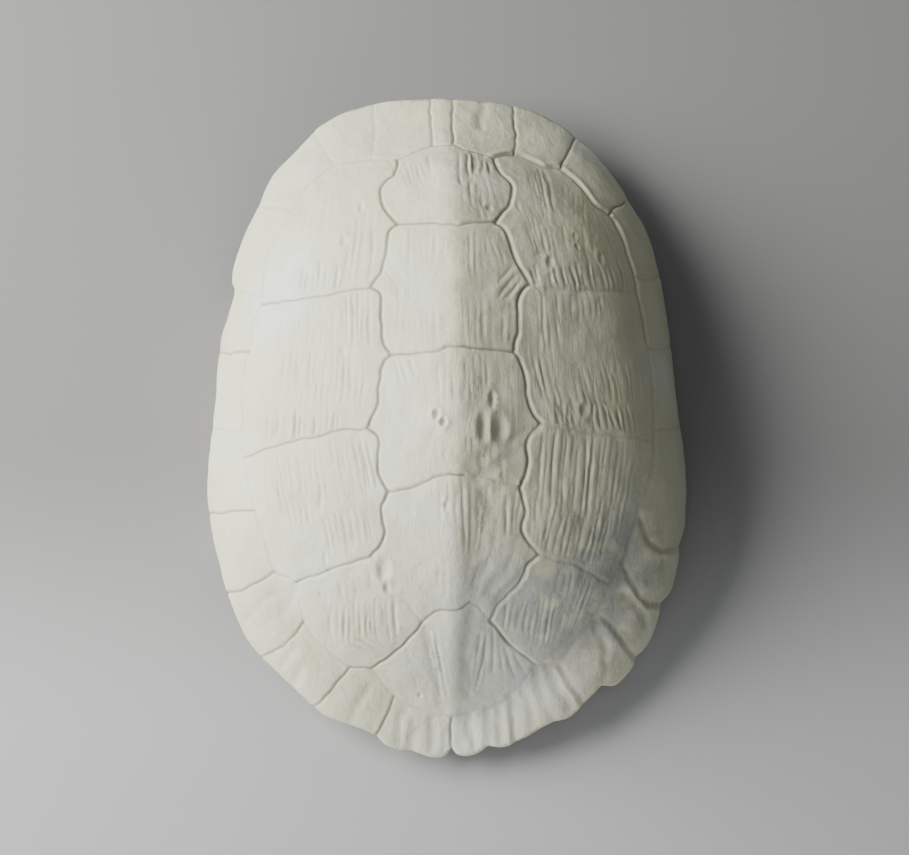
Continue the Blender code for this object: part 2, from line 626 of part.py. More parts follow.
def inner_points(ring):
    """Flat points of the inner mesh: its ring, three rows along the ridge and an even filling."""
    sieve = Sieve()
    sieve.add(ring, 0)
    along = np.arange(-SPINE_REACH, SPINE_REACH + 1, INNER_SPACING)
    for offset in (0.0, 0.8 * SPINE_WIDTH, -0.8 * SPINE_WIDTH, 1.8 * SPINE_WIDTH, -1.8 * SPINE_WIDTH):
        sieve.add(np.column_stack([np.full(len(along), offset), along]), LEAST_GAP)
    grid = hexagon_grid(MAP_REACH, INNER_SPACING)
    sieve.add(inside_ring(grid, ring, 0.4 * INNER_SPACING), FILL_CLEARANCE * INNER_SPACING)
    return np.array(sieve.kept)


def ring_strip(first, second, count):
    """Quads between two rings of points with the given first numbers."""
    quads = []
    for i in range(count):
        after = (i + 1) % count
        quads.append((first + i, first + after, second + after, second + i))
    return quads


def shell_geometry():
    """All vertices of the shell in millimetres, and its faces."""
    dome = FlatMap()
    plan_rim = drawn_rim(RIM_SPACING)
    flat_rim = dome.from_plan(plan_rim)
    groups = (
        (DEEP_SEAMS, DEEP_GROOVE, True),
        (PLAIN_SEAMS, PLAIN_GROOVE, True),
        (FAINT_SEAMS, FAINT_GROOVE, True),
        (CREASES, CREASE_GROOVE, False),
        (fold_lines(), FOLD_GROOVE, False),
    )
    lines = []
    for drawn_lines, groove, drops_edges in groups:
        lines += [(dome.drop(line, SEAM_SPACING), groove, drops_edges) for line in drawn_lines]
    keel = dome.drop(KEEL_LINE, SEAM_SPACING)
    pit_centres = dome.from_plan(drop_on_dome(np.array([centre for centre, _, _ in PITS], float)))
    pits = [(centre, size, depth) for centre, (_, size, depth) in zip(pit_centres, PITS)]

    outer_flat = outer_points(flat_rim, lines, pits)
    height = surface_relief(outer_flat, lines, keel, pits)
    outer = dome.to_dome(outer_flat) + height[:, None] * dome.normals(outer_flat)
    count = len(flat_rim)
    rim = outer[:count]
    bearing = np.arctan2(plan_rim[:, 0], plan_rim[:, 1])
    even_plan = even_radius(bearing)[:, None] * plan_rim / np.linalg.norm(plan_rim, axis=1)[:, None]
    even_rim = dome.from_plan(even_plan)
    rings = under_rings(dome, rim, even_plan, flat_rim, even_rim)
    _, inner_ring = under_dome(dome, flat_rim, even_rim, INNER_RING_DEPTH, WALL)
    inner_flat = inner_points(inner_ring)
    inner = inner_wall(dome, inner_flat, WALL)

    faces = triangles_inside(outer_flat, count)
    start = len(outer)
    previous = 0
    for _ in rings:
        faces += ring_strip(previous, start, count)
        previous, start = start, start + count
    faces += ring_strip(previous, start, count)
    faces += [tuple(start + corner for corner in face[::-1]) for face in triangles_inside(inner_flat, count)]
    vertices = np.vstack([outer, *rings, inner])
    middle = (vertices.min(axis=0) + vertices.max(axis=0)) / 2
    return vertices - (middle[0], middle[1], 0), faces


def bleached_shell():
    """Dull off-white of old, bleached shell."""
    material = bpy.data.materials.new("bleached_shell")
    material.use_nodes = True
    shader = material.node_tree.nodes["Principled BSDF"]
    shader.inputs["Base Color"].default_value = (0.66, 0.64, 0.58, 1.0)
    shader.inputs["Roughness"].default_value = 0.72
    shader.inputs["Metallic"].default_value = 0.0
    return material


def build_shell():
    vertices, faces = shell_geometry()
    mesh = bpy.data.meshes.new("carapace")
    mesh.from_pydata((vertices * METRES_PER_MM).tolist(), [], faces)
    work = bmesh.new()
    work.from_mesh(mesh)
    bmesh.ops.recalc_face_normals(work, faces=work.faces)
    work.to_mesh(mesh)
    work.free()
    mesh.shade_smooth()
    mesh.materials.append(bleached_shell())
    shell = bpy.data.objects.new("carapace", mesh)
    bpy.context.scene.collection.objects.link(shell)
    return shell


for old in list(bpy.data.objects):
    bpy.data.objects.remove(old, do_unlink=True)
build_shell()
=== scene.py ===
# %% [markdown]
# # A bleached river turtle shell
#
# This notebook builds the looks of one thing: the top shell of a river turtle, dry and bleached, lying dome
# up on the two edges where it was sawn from the lower shell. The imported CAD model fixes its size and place.
#
# A real carapace is one dome of fused ribs and backbone under a skin of horn plates. Five plates run down
# the middle, four lie over the ribs on each side, and a ring of small ones makes the rim. What the eye reads
# is, from large to small: the oval with its notched rear rim, the long dome, the seams between plates, the
# growth folds that each plate kept from its younger edges, a few bite and worm pits, and a chalky grain.
# The cells below follow that order. All of it is geometry down to about a millimetre, and only the chalk
# grain and its fine streaks are left to the material.

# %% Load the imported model
import math

import bmesh
import bpy
import numpy as np
from mathutils import Matrix, Vector
from mathutils.geometry import delaunay_2d_cdt


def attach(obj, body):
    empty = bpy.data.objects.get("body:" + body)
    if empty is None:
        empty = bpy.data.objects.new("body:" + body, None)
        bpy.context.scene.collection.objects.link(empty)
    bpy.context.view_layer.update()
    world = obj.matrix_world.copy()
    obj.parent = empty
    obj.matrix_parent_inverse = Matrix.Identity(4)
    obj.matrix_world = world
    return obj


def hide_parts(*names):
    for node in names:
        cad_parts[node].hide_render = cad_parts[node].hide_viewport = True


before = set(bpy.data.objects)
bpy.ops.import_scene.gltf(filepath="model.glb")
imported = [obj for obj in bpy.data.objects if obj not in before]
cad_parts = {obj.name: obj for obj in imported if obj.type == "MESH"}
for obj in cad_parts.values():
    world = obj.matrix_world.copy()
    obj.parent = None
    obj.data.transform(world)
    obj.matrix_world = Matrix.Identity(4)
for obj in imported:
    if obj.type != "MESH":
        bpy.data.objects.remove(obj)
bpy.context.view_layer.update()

# %% [markdown]
# ## Real sizes
#
# The dome, the rim and the sawn edges have the same driving dimensions as the CAD model, in millimetres, so
# that the detailed shell fills the same box, but for a fraction of a millimetre of relief. The dome's height
# is written as three profiles from the apex to the rim, one each for the neck, the sides and the tail. A
# turtle's shell climbs steeply from the neck, is fullest over the ribs, and flares out flat over the tail,
# which one formula for an ellipsoid can't give.

# %% Real sizes
# The dome
APEX_HEIGHT = 88.0
HALF_LENGTH = 135.0
HALF_WIDTH = 97.0
WALL = 5.0
RIM_HEIGHTS = ((0, 29), (20, 24), (38, 18), (62, 14.5), (90, 14), (118, 15), (142, 16), (164, 12), (180, 10))
# Each profile pairs the share of the way to the rim with the share of the height that is left there.
FRONT_PROFILE = ((0, 1), (0.13, 0.986), (0.35, 0.91), (0.54, 0.785), (0.7, 0.57), (0.823, 0.28), (1, 0))
SIDE_PROFILE = (
    (0, 1), (0.17, 0.98), (0.33, 0.927), (0.5, 0.832), (0.67, 0.7), (0.76, 0.6), (0.92, 0.3), (1, 0),
)
REAR_PROFILE = (
    (0, 1), (0.12, 0.98), (0.25, 0.91), (0.45, 0.76), (0.61, 0.57), (0.75, 0.33), (0.87, 0.11), (1, 0),
)
REAR_REACH = 1.4
RIM_HARMONICS = 9

# The dome is a little roofed: it falls away on both sides of the keel, which is rounded on top.
ROOF_SLOPE = 0.3
ROOF_DROP = 6.0
ROOF_ROUND = 6.0
ROOF_MIDDLE = -1.5

# The sawn bridges that the shell rests on
FOOT_REAR, FOOT_FRONT = -46.0, 48.0
FOOT_FADE = 22.0
FOOT_INSET = 5.5
FOOT_WIDTH = 5.0
FOOT_INNER_HEIGHT = 12.0
BRIDGE_EDGE = 2.2
BRIDGE_WAIST = 3.6
BRIDGE_WAIST_SHARE = 0.45

# The rim's edge, and how far in and how deep each ring of its underside lies
EDGE_ROUND = 1.0
LIP_EDGE = 1.8
LIP_RINGS = ((3.0, 3.8), (8.0, 5.4), (12.0, 5.8), (14.0, 5.5))

# The ridge of backbone under the dome
SPINE_HEIGHT = 5.0
SPINE_WIDTH = 6.0
SPINE_REACH = 92.0

# The sheet and its line of sight
DRAWING_UNIT = 0.405
DRAWING_CENTRE = np.array((447.0, 427.0))
SIGHT_LEAN_TO_TAIL = math.radians(12.0)
SIGHT_LEAN_TO_LEFT = math.radians(4.0)
SIGHT_DISTANCE = 1000.0
SIGHT_CENTRE = np.array((0.0, 0.0, 20.0))

# How far in from the rim the hollow's own mesh begins, and the reach of the grids that fill the flat map
INNER_RING_DEPTH = 16.0
MAP_REACH = 190.0

# %% [markdown]
# ## The drawing
#
# What follows is drawn in units of 0.405 mm on a sheet square to the line of sight, x to the right and y
# down. The rim is a row of arcs that meet at its notches. Each seam is a few points that a smooth curve goes
# through, with the scallops that the seams between the middle row and the ribs' plates have. Deep, plain
# and faint seams differ in how worn they are.

# %% The drawing
# The rim as drawn, clockwise from the neck. Neighbouring arcs meet at a notch or a corner.
RIM_ARCS = (
    ((430, 99), (441, 98.3), (452.5, 99.6)),
    ((452.5, 99.6), (468, 99.8), (482.5, 101)),
    ((482.5, 101), (498, 102), (513, 104.5)),
    ((513, 104.5), (532, 109.5), (550, 116.5), (566, 127), (576, 134.5)),
    ((576, 134.5), (586, 143.5), (596, 153), (608, 170), (620, 188), (626, 200)),
    ((626, 200), (635, 212.5), (644, 224), (654, 248), (661, 275)),
    ((661, 275), (664, 300), (668, 319), (671, 345)),
    ((671, 345), (673.5, 370), (676, 400), (680, 425)),
    ((680, 425), (684, 443), (686.5, 465), (687, 490), (685, 522), (677.5, 547)),
    ((677.5, 547), (678.5, 560), (676, 576), (670, 591), (660, 603)),
    ((660, 603), (657.5, 620), (652, 637), (645, 648), (637, 656)),
    ((637, 656), (632, 668), (617, 683), (601, 685)),
    ((601, 685), (593, 693), (584, 703)),
    ((584, 703), (576, 711), (568, 717), (554, 721)),
    ((554, 721), (543, 726), (530, 734), (516, 741)),
    ((516, 741), (508, 744.5), (501, 746), (488, 745)),
    ((488, 745), (478, 752), (467, 755), (457, 753), (451.5, 747)),
    ((451.5, 747), (445, 755), (434, 756.5), (422, 753.5), (412, 750)),
    ((412, 750), (399, 749), (386, 744), (376, 735)),
    ((376, 735), (371, 732.5), (358, 727), (343, 722), (328, 716), (313, 706)),
    ((313, 706), (303, 696), (292, 686)),
    ((292, 686), (275, 669), (261, 656)),
    ((261, 656), (253, 646), (244, 632), (236, 615), (226, 592)),
    ((226, 592), (220, 567), (215, 547), (211, 528), (208.5, 512)),
    ((208.5, 512), (207.5, 490), (208, 470), (210.5, 446), (213, 428)),
    ((213, 428), (215.5, 403), (217, 380), (219, 351)),
    ((219, 351), (221, 334), (228, 316), (233.5, 300), (235, 289)),
    ((235, 289), (232.7, 280), (234, 265), (242, 239), (251, 221), (259, 206)),
    ((259, 206), (265, 192), (273, 175), (287, 160), (304, 142), (313, 131)),
    ((313, 131), (321, 123.5), (347, 109.5), (360, 106), (372, 102.8)),
    ((372, 102.8), (386, 101), (402, 100), (416, 99.2), (430, 99)),
)

# Seams between the middle row of plates and the ribs' plates
DEEP_SEAMS = (
    ((397, 157), (397.5, 166), (395, 173), (387, 179), (381, 188), (381, 199), (387, 212), (397, 222.5)),
    ((397, 222.5), (389.5, 229), (387.5, 240), (385, 256), (380.5, 271), (370, 286)),
    ((370, 286), (378.5, 291), (381, 300), (381, 324), (384, 343), (390.5, 354)),
    ((390.5, 354), (383, 362), (379, 380), (377, 403), (367, 427)),
    ((367, 427), (375.5, 433), (378.5, 444), (378.5, 471), (388, 491)),
    ((388, 491), (382, 503), (381.5, 518), (384, 532), (380.5, 545), (370, 556)),
    ((422, 622), (416, 631), (396, 650), (371, 669)),
    ((494, 157), (500, 171), (510, 180), (513, 190), (509.5, 202), (502.5, 212), (496, 222)),
    ((496, 222), (504, 227), (509, 239), (514, 253), (520, 268), (530, 283)),
    ((530, 283), (523, 288), (519, 297), (518, 310), (518.5, 330), (514, 351)),
    ((514, 351), (521, 361), (525.5, 378), (528, 395), (532, 409), (541, 422)),
    ((541, 422), (531, 433), (527, 444), (527.5, 460), (525, 473), (520, 487)),
    ((520, 487), (524, 500), (526, 511), (523, 522), (523.5, 531), (529, 543), (539, 554)),
    ((539, 554), (529, 562), (523.5, 575), (517.5, 585), (505, 596), (498, 605), (490, 620)),
    ((490, 620), (501, 634), (516, 648), (527, 657), (536, 665)),
)

# Seams across the middle row, between the ribs' plates on the left, and round the rim's plates
PLAIN_SEAMS = (
    ((397, 222.5), (412, 221.5), (434, 222.5), (443, 224), (452, 222.5), (460, 224), (472, 221), (496, 220)),
    ((390.5, 354), (400, 352.5), (424, 350.5), (440, 348.5), (448, 346), (463, 346), (476, 348), (514, 351)),
    ((388, 491), (400, 488.5), (411, 487.5), (424, 482), (438, 476), (447, 474), (463, 474)),
    ((422, 622), (430, 615.5), (438, 610.5), (450, 609.5), (460, 607), (470, 601)),
    ((397, 157), (404, 155), (416, 149.5), (431, 144.5), (453, 144), (463, 147), (480, 151.5), (494, 156)),
    ((430.5, 99), (431, 120), (432, 144.3)),
    ((452.5, 99.6), (452.5, 144)),
    ((370, 286), (352, 288.5), (335, 292.5), (310, 296), (289, 299), (271, 300.5), (261, 303)),
    ((367, 427), (350, 428.5), (335, 430.5), (318, 435), (302, 438), (285, 442.5), (265, 448.5), (243, 457)),
    ((370, 556), (358, 560), (344, 564), (328, 569), (312, 576), (295, 582.5)),
    ((371, 669), (361, 667.5), (350, 667)),
    ((494, 156), (514, 154), (530, 158), (545, 165.5), (560.5, 168), (578, 183), (596, 205), (609.5, 214)),
    ((609.5, 214), (621, 235), (633, 271), (637, 291), (642, 313), (647, 340)),
    ((647, 340), (651, 365), (653.5, 400), (654.5, 430), (655, 455), (651, 477), (646, 497), (641, 513)),
    ((641, 513), (633, 538), (626, 566), (613, 585), (599, 617), (579, 640), (558, 663), (536, 665)),
    ((219, 351), (229, 352.5), (234, 351), (248.5, 350.5)),
    ((208.5, 512), (222, 512), (230, 510.5), (254, 510)),
    ((226, 592), (240, 590.5), (248, 587), (262, 579.5), (274, 571.5)),
    ((261, 656), (270, 652), (281, 645.5), (293, 635), (303, 622)),
    ((313, 706), (322, 699), (334, 686), (350, 667)),
    ((376, 735), (382, 723), (387, 715.5), (390, 708), (394, 697)),
    ((451.5, 747), (451, 733), (452, 716.5)),
    ((513, 104.5), (514.5, 125), (516, 138), (514, 154)),
    ((576, 134.5), (572, 143), (568, 152), (560.5, 168)),
    ((626, 200), (621, 205), (615, 206.5), (609.5, 214)),
    ((677.5, 547), (664, 549), (651, 541), (641, 513)),
    ((660, 603), (648, 601), (640, 595), (633, 580), (626, 566)),
    ((637, 656), (624, 640), (612, 624), (599, 617)),
    ((584, 703), (578, 692), (570, 680), (558, 663)),
    ((516, 741), (514, 728), (513, 710), (511, 696.5)),
)

# Seams that are worn almost away
FAINT_SEAMS = (
    ((463, 474), (485, 476), (505, 481), (520, 487)),
    ((470, 601), (480, 608), (490, 620)),
    ((370, 556), (378, 563), (381, 575), (386, 589), (398, 597), (409, 604), (414, 613), (422, 622)),
    ((397, 157), (384, 158.5), (370, 158), (347, 160), (334, 165), (309, 184), (292, 209)),
    ((292, 209), (276, 234), (267, 255), (262.5, 288), (261, 303), (255, 316), (250.5, 331), (248.5, 350.5)),
    ((248.5, 350.5), (243.5, 367), (242, 400), (242.5, 438), (243, 457), (246.5, 478), (254, 510)),
    ((254, 510), (259, 526), (266, 548), (274, 571.5), (285, 576), (295, 582.5), (299, 600), (303, 622)),
    ((303, 622), (316, 640), (332, 655), (350, 667)),
    ((371, 669), (384, 685), (396, 698), (411, 706), (436, 714), (452, 716.5)),
    ((452, 716.5), (473, 712), (496, 706), (511, 696.5), (523, 684), (536, 665)),
    ((530, 283), (548, 287), (570, 289), (600, 290), (637, 291)),
    ((541, 422), (565, 428), (600, 433), (654.5, 440)),
    ((539, 554), (556, 559), (575, 564), (613, 585)),
    ((372, 102.8), (375, 125), (373.5, 145), (371, 158)),
    ((313, 131), (322, 146), (334, 165)),
    ((259, 206), (272, 206), (292, 209)),
    ((235, 289), (246, 291), (262, 295)),
    ((213, 428), (228, 430), (242.5, 428)),
    ((661, 275), (648, 279), (634, 276)),
    ((671, 345), (660, 348), (648, 346)),
    ((680, 425), (668, 428), (654.5, 428)),
)

# Soft creases that run in from the rim, the channels beside the last keel, and folds in the plates
CREASES = (
    ((482.5, 101), (482, 112), (481, 126)),
    ((292, 686), (298, 677), (302, 664)),
    ((601, 685), (607, 672), (606, 655), (604, 638), (598, 622)),
    ((554, 721), (546, 709), (541, 694), (538, 680), (536, 668)),
    ((488, 745), (488, 728), (488, 710)),
    ((412, 750), (413, 735), (414, 722)),
    ((426, 630), (430, 655), (435, 678), (440, 702)),
    ((472, 612), (468, 640), (466, 668), (467, 694)),
    ((470, 465), (490, 450), (514, 436), (536, 427)),
    ((474, 588), (478, 576), (486, 565)),
    ((295, 584), (291, 598), (283, 612)),
)

# The keel down the middle row, and its height at even steps from end to end
KEEL_LINE = ((450, 170), (452, 222), (456, 350), (458, 420), (459, 480), (457, 560), (453, 640), (453, 712))
KEEL_HEIGHTS = (0.3, 0.2, 0.2, 0.3, 0.5, 0.8, 1.7, 0.8)
KEEL_WIDTH = 5.0

# Pits and dents: where, half size across and along in millimetres, and depth
PITS = (
    ((436.5, 413), (1.1, 1.7), 1.4),
    ((443.5, 421), (1.0, 1.5), 1.2),
    ((483, 426), (1.8, 4.4), 1.2),
    ((499, 427), (2.6, 4.0), 1.4),
    ((492, 398), (1.1, 2.8), 0.9),
    ((489, 207), (1.2, 1.4), 0.5),
    ((575, 235), (0.9, 1.3), 0.4),
    ((577, 246), (0.9, 0.9), 0.4),
    ((550, 261), (1.4, 2.1), 0.6),
    ((601, 257), (1.2, 2.5), 0.5),
    ((584, 409), (1.5, 2.2), 0.7),
    ((344, 240), (1.3, 2.4), 0.7),
    ((361, 206), (0.9, 2.8), 0.6),
    ((384, 569), (2.2, 3.8), 0.9),
    ((387, 586), (1.1, 2.4), 0.7),
    ((320, 500), (0.9, 3.6), 0.5),
    ((325, 558), (0.9, 2.8), 0.4),
    ((343, 350), (1.2, 2.0), 0.4),
    ((446, 505), (0.8, 1.8), 0.5),
    ((227, 531), (1.2, 2.0), 0.5),
    ((420, 695), (1.0, 1.3), 0.4),
)

# %% [markdown]
# ## Growth folds
#
# Each plate grows by a strip at its edge, and the old strips stay as fine folds. Here they show best on the
# right, where the light grazes them, as rows of near parallel grooves that run fore and aft over the ribs'
# plates, fan out at the corners of the middle row, and break into short combs along the seams. A row is
# written as its first and last groove and how many there are, and the ones between are spread evenly, then
# shifted, bent and made a little longer or shorter by a seeded generator. That keeps the rhythm of a real
# plate, which ruled lines or plain noise would lose.

# %% Growth folds
# Each row is its first and last groove, how many there are, and how deep they are beside the usual.
GROWTH_FOLDS = (
    (((527, 172), (536, 204)), ((546, 168), (560, 222)), 6, 1.0),
    (((518, 206), (530, 240)), ((544, 228), (554, 258)), 6, 0.8),
    (((564, 186), (563, 212)), ((584, 198), (586, 226)), 5, 0.5),
    (((530, 238), (536, 262)), ((562, 226), (568, 262)), 7, 0.6),
    (((570, 222), (574, 256)), ((606, 226), (612, 258)), 7, 0.45),
    (((531, 266), (537, 288)), ((622, 263), (629, 290)), 17, 1.4),
    (((537, 291), (541, 356)), ((556, 290), (564, 344)), 5, 1.0),
    (((563, 290), (566, 324)), ((600, 291), (603, 312)), 7, 0.7),
    (((528, 352), (536, 402)), ((552, 356), (562, 400)), 5, 0.9),
    (((570, 366), (581, 404)), ((634, 360), (640, 398)), 12, 0.8),
    (((545, 398), (552, 420)), ((600, 386), (607, 410)), 8, 0.7),
    (((556, 406), (560, 428)), ((634, 408), (638, 434)), 14, 1.5),
    (((542, 428), (537, 502)), ((594, 430), (587, 522)), 9, 1.3),
    (((600, 434), (594, 526)), ((636, 446), (620, 530)), 7, 0.9),
    (((531, 500), (530, 534)), ((556, 504), (546, 554)), 5, 0.9),
    (((564, 508), (553, 558)), ((614, 506), (598, 564)), 9, 1.0),
    (((508, 604), (504, 628)), ((556, 596), (549, 644)), 10, 1.1),
    (((560, 572), (552, 640)), ((598, 580), (576, 636)), 7, 0.8),
    (((486, 632), (474, 692)), ((474, 640), (469, 700)), 3, 2.2),
    (((488, 630), (486, 676)), ((512, 650), (524, 676)), 6, 1.1),
    (((426, 634), (436, 694)), ((434, 630), (446, 694)), 3, 2.0),
    (((404, 644), (420, 694)), ((418, 636), (430, 694)), 3, 0.4),
    (((513, 268), (496, 292)), ((521, 280), (504, 306)), 6, 1.2),
    (((380, 272), (402, 298)), ((388, 262), (406, 282)), 4, 0.7),
    (((394, 358), (402, 382)), ((408, 358), (414, 378)), 3, 0.9),
    (((459, 151), (461, 178)), ((487, 155), (489, 174)), 8, 1.6),
    (((392, 166), (404, 190)), ((428, 154), (432, 178)), 7, 0.8),
    (((464, 178), (465, 206)), ((490, 174), (496, 200)), 6, 0.7),
    (((462, 196), (470, 216)), ((492, 192), (500, 210)), 6, 0.6),
    (((402, 230), (403, 264)), ((446, 228), (447, 262)), 8, 0.4),
    (((462, 228), (463, 276)), ((482, 228), (484, 274)), 4, 0.5),
    (((484, 230), (490, 262)), ((500, 230), (514, 262)), 4, 0.7),
    (((464, 296), (465, 344)), ((510, 298), (510, 342)), 9, 0.4),
    (((398, 310), (399, 342)), ((446, 310), (447, 342)), 9, 0.4),
    (((440, 354), (440, 398)), ((452, 352), (453, 396)), 3, 0.6),
    (((464, 352), (465, 404)), ((486, 352), (488, 388)), 5, 0.8),
    (((496, 360), (498, 392)), ((516, 368), (520, 404)), 4, 0.4),
    (((466, 436), (466, 470)), ((500, 448), (500, 476)), 6, 0.8),
    (((436, 446), (440, 470)), ((452, 444), (454, 470)), 3, 0.4),
    (((464, 480), (465, 560)), ((502, 484), (496, 548)), 7, 1.0),
    (((506, 490), (505, 540)), ((520, 496), (516, 530)), 3, 1.0),
    (((440, 482), (441, 520)), ((454, 480), (455, 530)), 3, 0.6),
    (((470, 542), (464, 592)), ((492, 548), (478, 580)), 5, 0.5),
    (((438, 560), (440, 596)), ((452, 556), (452, 596)), 3, 0.5),
    (((352, 212), (343, 284)), ((374, 214), (366, 284)), 5, 0.9),
    (((292, 268), (288, 292)), ((360, 262), (356, 286)), 13, 1.3),
    (((296, 205), (288, 250)), ((336, 182), (330, 226)), 7, 0.35),
    (((342, 292), (342, 346)), ((369, 290), (370, 346)), 6, 1.3),
    (((284, 306), (281, 346)), ((334, 300), (333, 342)), 9, 0.5),
    (((286, 350), (283, 386)), ((350, 350), (348, 388)), 12, 0.9),
    (((304, 382), (302, 406)), ((372, 376), (366, 404)), 11, 0.7),
    (((268, 414), (266, 440)), ((340, 408), (338, 430)), 14, 1.7),
    (((330, 438), (341, 498)), ((368, 436), (377, 490)), 8, 1.3),
    (((266, 462), (270, 508)), ((322, 446), (330, 506)), 10, 0.8),
    (((276, 476), (286, 524)), ((304, 494), (310, 534)), 5, 1.4),
    (((322, 512), (330, 556)), ((368, 500), (374, 544)), 8, 0.8),
    (((326, 602), (326, 642)), ((394, 598), (397, 642)), 13, 1.1),
    (((348, 644), (372, 654)), ((384, 622), (402, 636)), 6, 0.8),
    (((318, 588), (320, 604)), ((368, 572), (370, 592)), 8, 0.7),
)

# %% [markdown]
# ## Curves
#
# Three small tools carry every drawn shape. A monotone cubic goes through the profile keys without
# overshoot, so the dome has no stray dents. A Catmull-Rom curve turns a few drawn points into a seam, and
# even steps along it set where the mesh's points will lie. A seam on a real shell is never quite even, so
# each one then wanders by a fraction of a millimetre and changes its depth on the way.

# %% Curves
def cubic_through(keys, at):
    """Values of a smooth curve through (position, value) keys, with no overshoot between them."""
    x, y = np.array(keys, float).T
    gap = np.diff(x)
    slope = np.diff(y) / gap
    product = slope[:-1] * slope[1:]
    safe_sum = np.where(product > 0, slope[:-1] + slope[1:], 1.0)
    inner = np.where(product > 0, 2 * product / safe_sum, 0.0)
    tangent = np.concatenate([slope[:1], inner, slope[-1:]])
    span = np.clip(np.searchsorted(x, at, side="right") - 1, 0, len(gap) - 1)
    t = (at - x[span]) / gap[span]
    inside = np.clip(t, 0, 1)
    cube, square = inside**3, inside**2
    value = (2 * cube - 3 * square + 1) * y[span] + (3 * square - 2 * cube) * y[span + 1]
    value += gap[span] * ((cube - 2 * square + inside) * tangent[span] + (cube - square) * tangent[span + 1])
    return value + (t - inside) * gap[span] * np.where(t > 1, tangent[span + 1], tangent[span])


def level_at_start(keys):
    """The keys with their mirror images before the first one, so that the curve starts level."""
    return tuple((-x, y) for x, y in keys[:0:-1]) + keys


def even_steps(line, spacing):
    """The line again, as points an even distance apart, close to the spacing."""
    run = np.concatenate([[0], np.cumsum(np.linalg.norm(np.diff(line, axis=0), axis=1))])
    count = max(2, round(run[-1] / spacing) + 1)
    stops = np.linspace(0, run[-1], count)
    return np.column_stack([np.interp(stops, run, values) for values in line.T])


def smooth_line(points):
    """A Catmull-Rom curve through the points, finely stepped."""
    points = np.array(points, float)
    before, after = 2 * points[0] - points[1], 2 * points[-1] - points[-2]
    p = np.vstack([before, points, after])
    t = np.linspace(0, 1, 17)[:-1, None]
    spans = []
    for a, b, c, d in zip(p, p[1:], p[2:], p[3:]):
        spans.append(b + 0.5 * t * (c - a + t * (2 * a - 5 * b + 4 * c - d + t * (3 * b - a - 3 * c + d))))
    return np.vstack(spans + [points[-1:]])


def soft_noise(random, count, length):
    """Smooth random values with a spread of about 1, whose swings take about this many steps."""
    reach = max(1, round(1.5 * length))
    bell = np.exp(-((np.arange(-reach, reach + 1) / (0.5 * length)) ** 2))
    values = np.convolve(random.normal(size=count + 2 * reach), bell, mode="valid")
    return values / np.sqrt((bell**2).sum())


def beside(line, offset):
    """Points beside a line's own points, at an offset to its left."""
    ways = np.gradient(line, axis=0)
    ways /= np.linalg.norm(ways, axis=1)[:, None]
    return line + np.asarray(offset).reshape(-1, 1) * ways[:, ::-1] * (-1, 1)


def wandering(line, random, size, length):
    """The line again, pushed a little from side to side everywhere but at its ends."""
    if len(line) < 4:
        return line
    held = np.minimum(1, np.minimum(np.arange(len(line)), np.arange(len(line))[::-1]) / 3)
    return beside(line, size * held * soft_noise(random, len(line), length))


# %% [markdown]
# ## The line of sight
#
# The drawing was made square to one line of sight, which leans a little to the tail and to the left. A drawn
# point becomes a place on the shell by following its sight line from the eye down to the dome. The camera
# will stand at the same eye, so the seams land where they were seen, and from any other side they still
# lie on the shell.

# %% The line of sight
# How often a height is looked up again to find where a sight line meets the rim, and the dome
RIM_ROUNDS, DOME_ROUNDS = 6, 40


def sight_axes():
    """The drawing's right and up directions, and the direction back to the eye."""
    side, tail = SIGHT_LEAN_TO_LEFT, SIGHT_LEAN_TO_TAIL
    to_eye = np.array((-math.sin(side) * math.cos(tail), -math.sin(tail), math.cos(side) * math.cos(tail)))
    right = np.array((math.cos(side), 0.0, math.sin(side)))
    return right, np.cross(to_eye, right), to_eye


def on_sight_lines(drawn, height):
    """Where the sight lines through drawn points pass through a height, in plan."""
    right, up, to_eye = sight_axes()
    eye = SIGHT_CENTRE + SIGHT_DISTANCE * to_eye
    offset = (drawn - DRAWING_CENTRE) * DRAWING_UNIT
    rays = SIGHT_CENTRE + offset[:, :1] * right - offset[:, 1:] * up - eye
    share = (height - eye[2]) / rays[:, 2]
    return (eye + rays * share[:, None])[:, :2]


def rim_height(plan):
    """Height of the rim on the bearing of each plan point."""
    bearing = np.degrees(np.arctan2(np.abs(plan[:, 0]) / HALF_WIDTH, plan[:, 1] / HALF_LENGTH))
    return cubic_through(level_at_start(RIM_HEIGHTS), bearing)


def drawn_rim(spacing):
    """The rim in plan, as points that step round it with one at each end of each arc."""
    arcs = [even_steps(smooth_line(arc), spacing / DRAWING_UNIT)[:-1] for arc in RIM_ARCS]
    drawn = np.vstack(arcs)
    plan = on_sight_lines(drawn, rim_height(drawn * (1, -1) + DRAWING_CENTRE * (-1, 1)))
    for _ in range(RIM_ROUNDS):
        plan = on_sight_lines(drawn, rim_height(plan))
    return plan


# %% [markdown]
# ## The dome
#
# The smooth dome has the even outline of the rim without its notches, kept as a short sum of waves round
# the bearing. Over each plan point the three profiles are blended by the bearing, so the surface is smooth
# all over and keeps the different falls to neck, sides and tail. Measuring along it from the apex unrolls
# it into a flat map on which a millimetre is nearly a millimetre. The mesh and every groove are worked out
# on that map, because widths drawn there stay true on the steep sides too.

# %% The dome
def rim_waves():
    """The rim's even outline without its notches, as a short sum of waves of the bearing."""
    rim = drawn_rim(1.5)
    bearing = np.arctan2(rim[:, 0], rim[:, 1])
    turn = np.radians(np.arange(360))
    radius = np.interp(turn, bearing, np.hypot(*rim.T), period=2 * math.pi)
    waves = np.fft.rfft(radius)[:RIM_HARMONICS] / 180
    waves[0] /= 2
    return waves


RIM_WAVES = rim_waves()


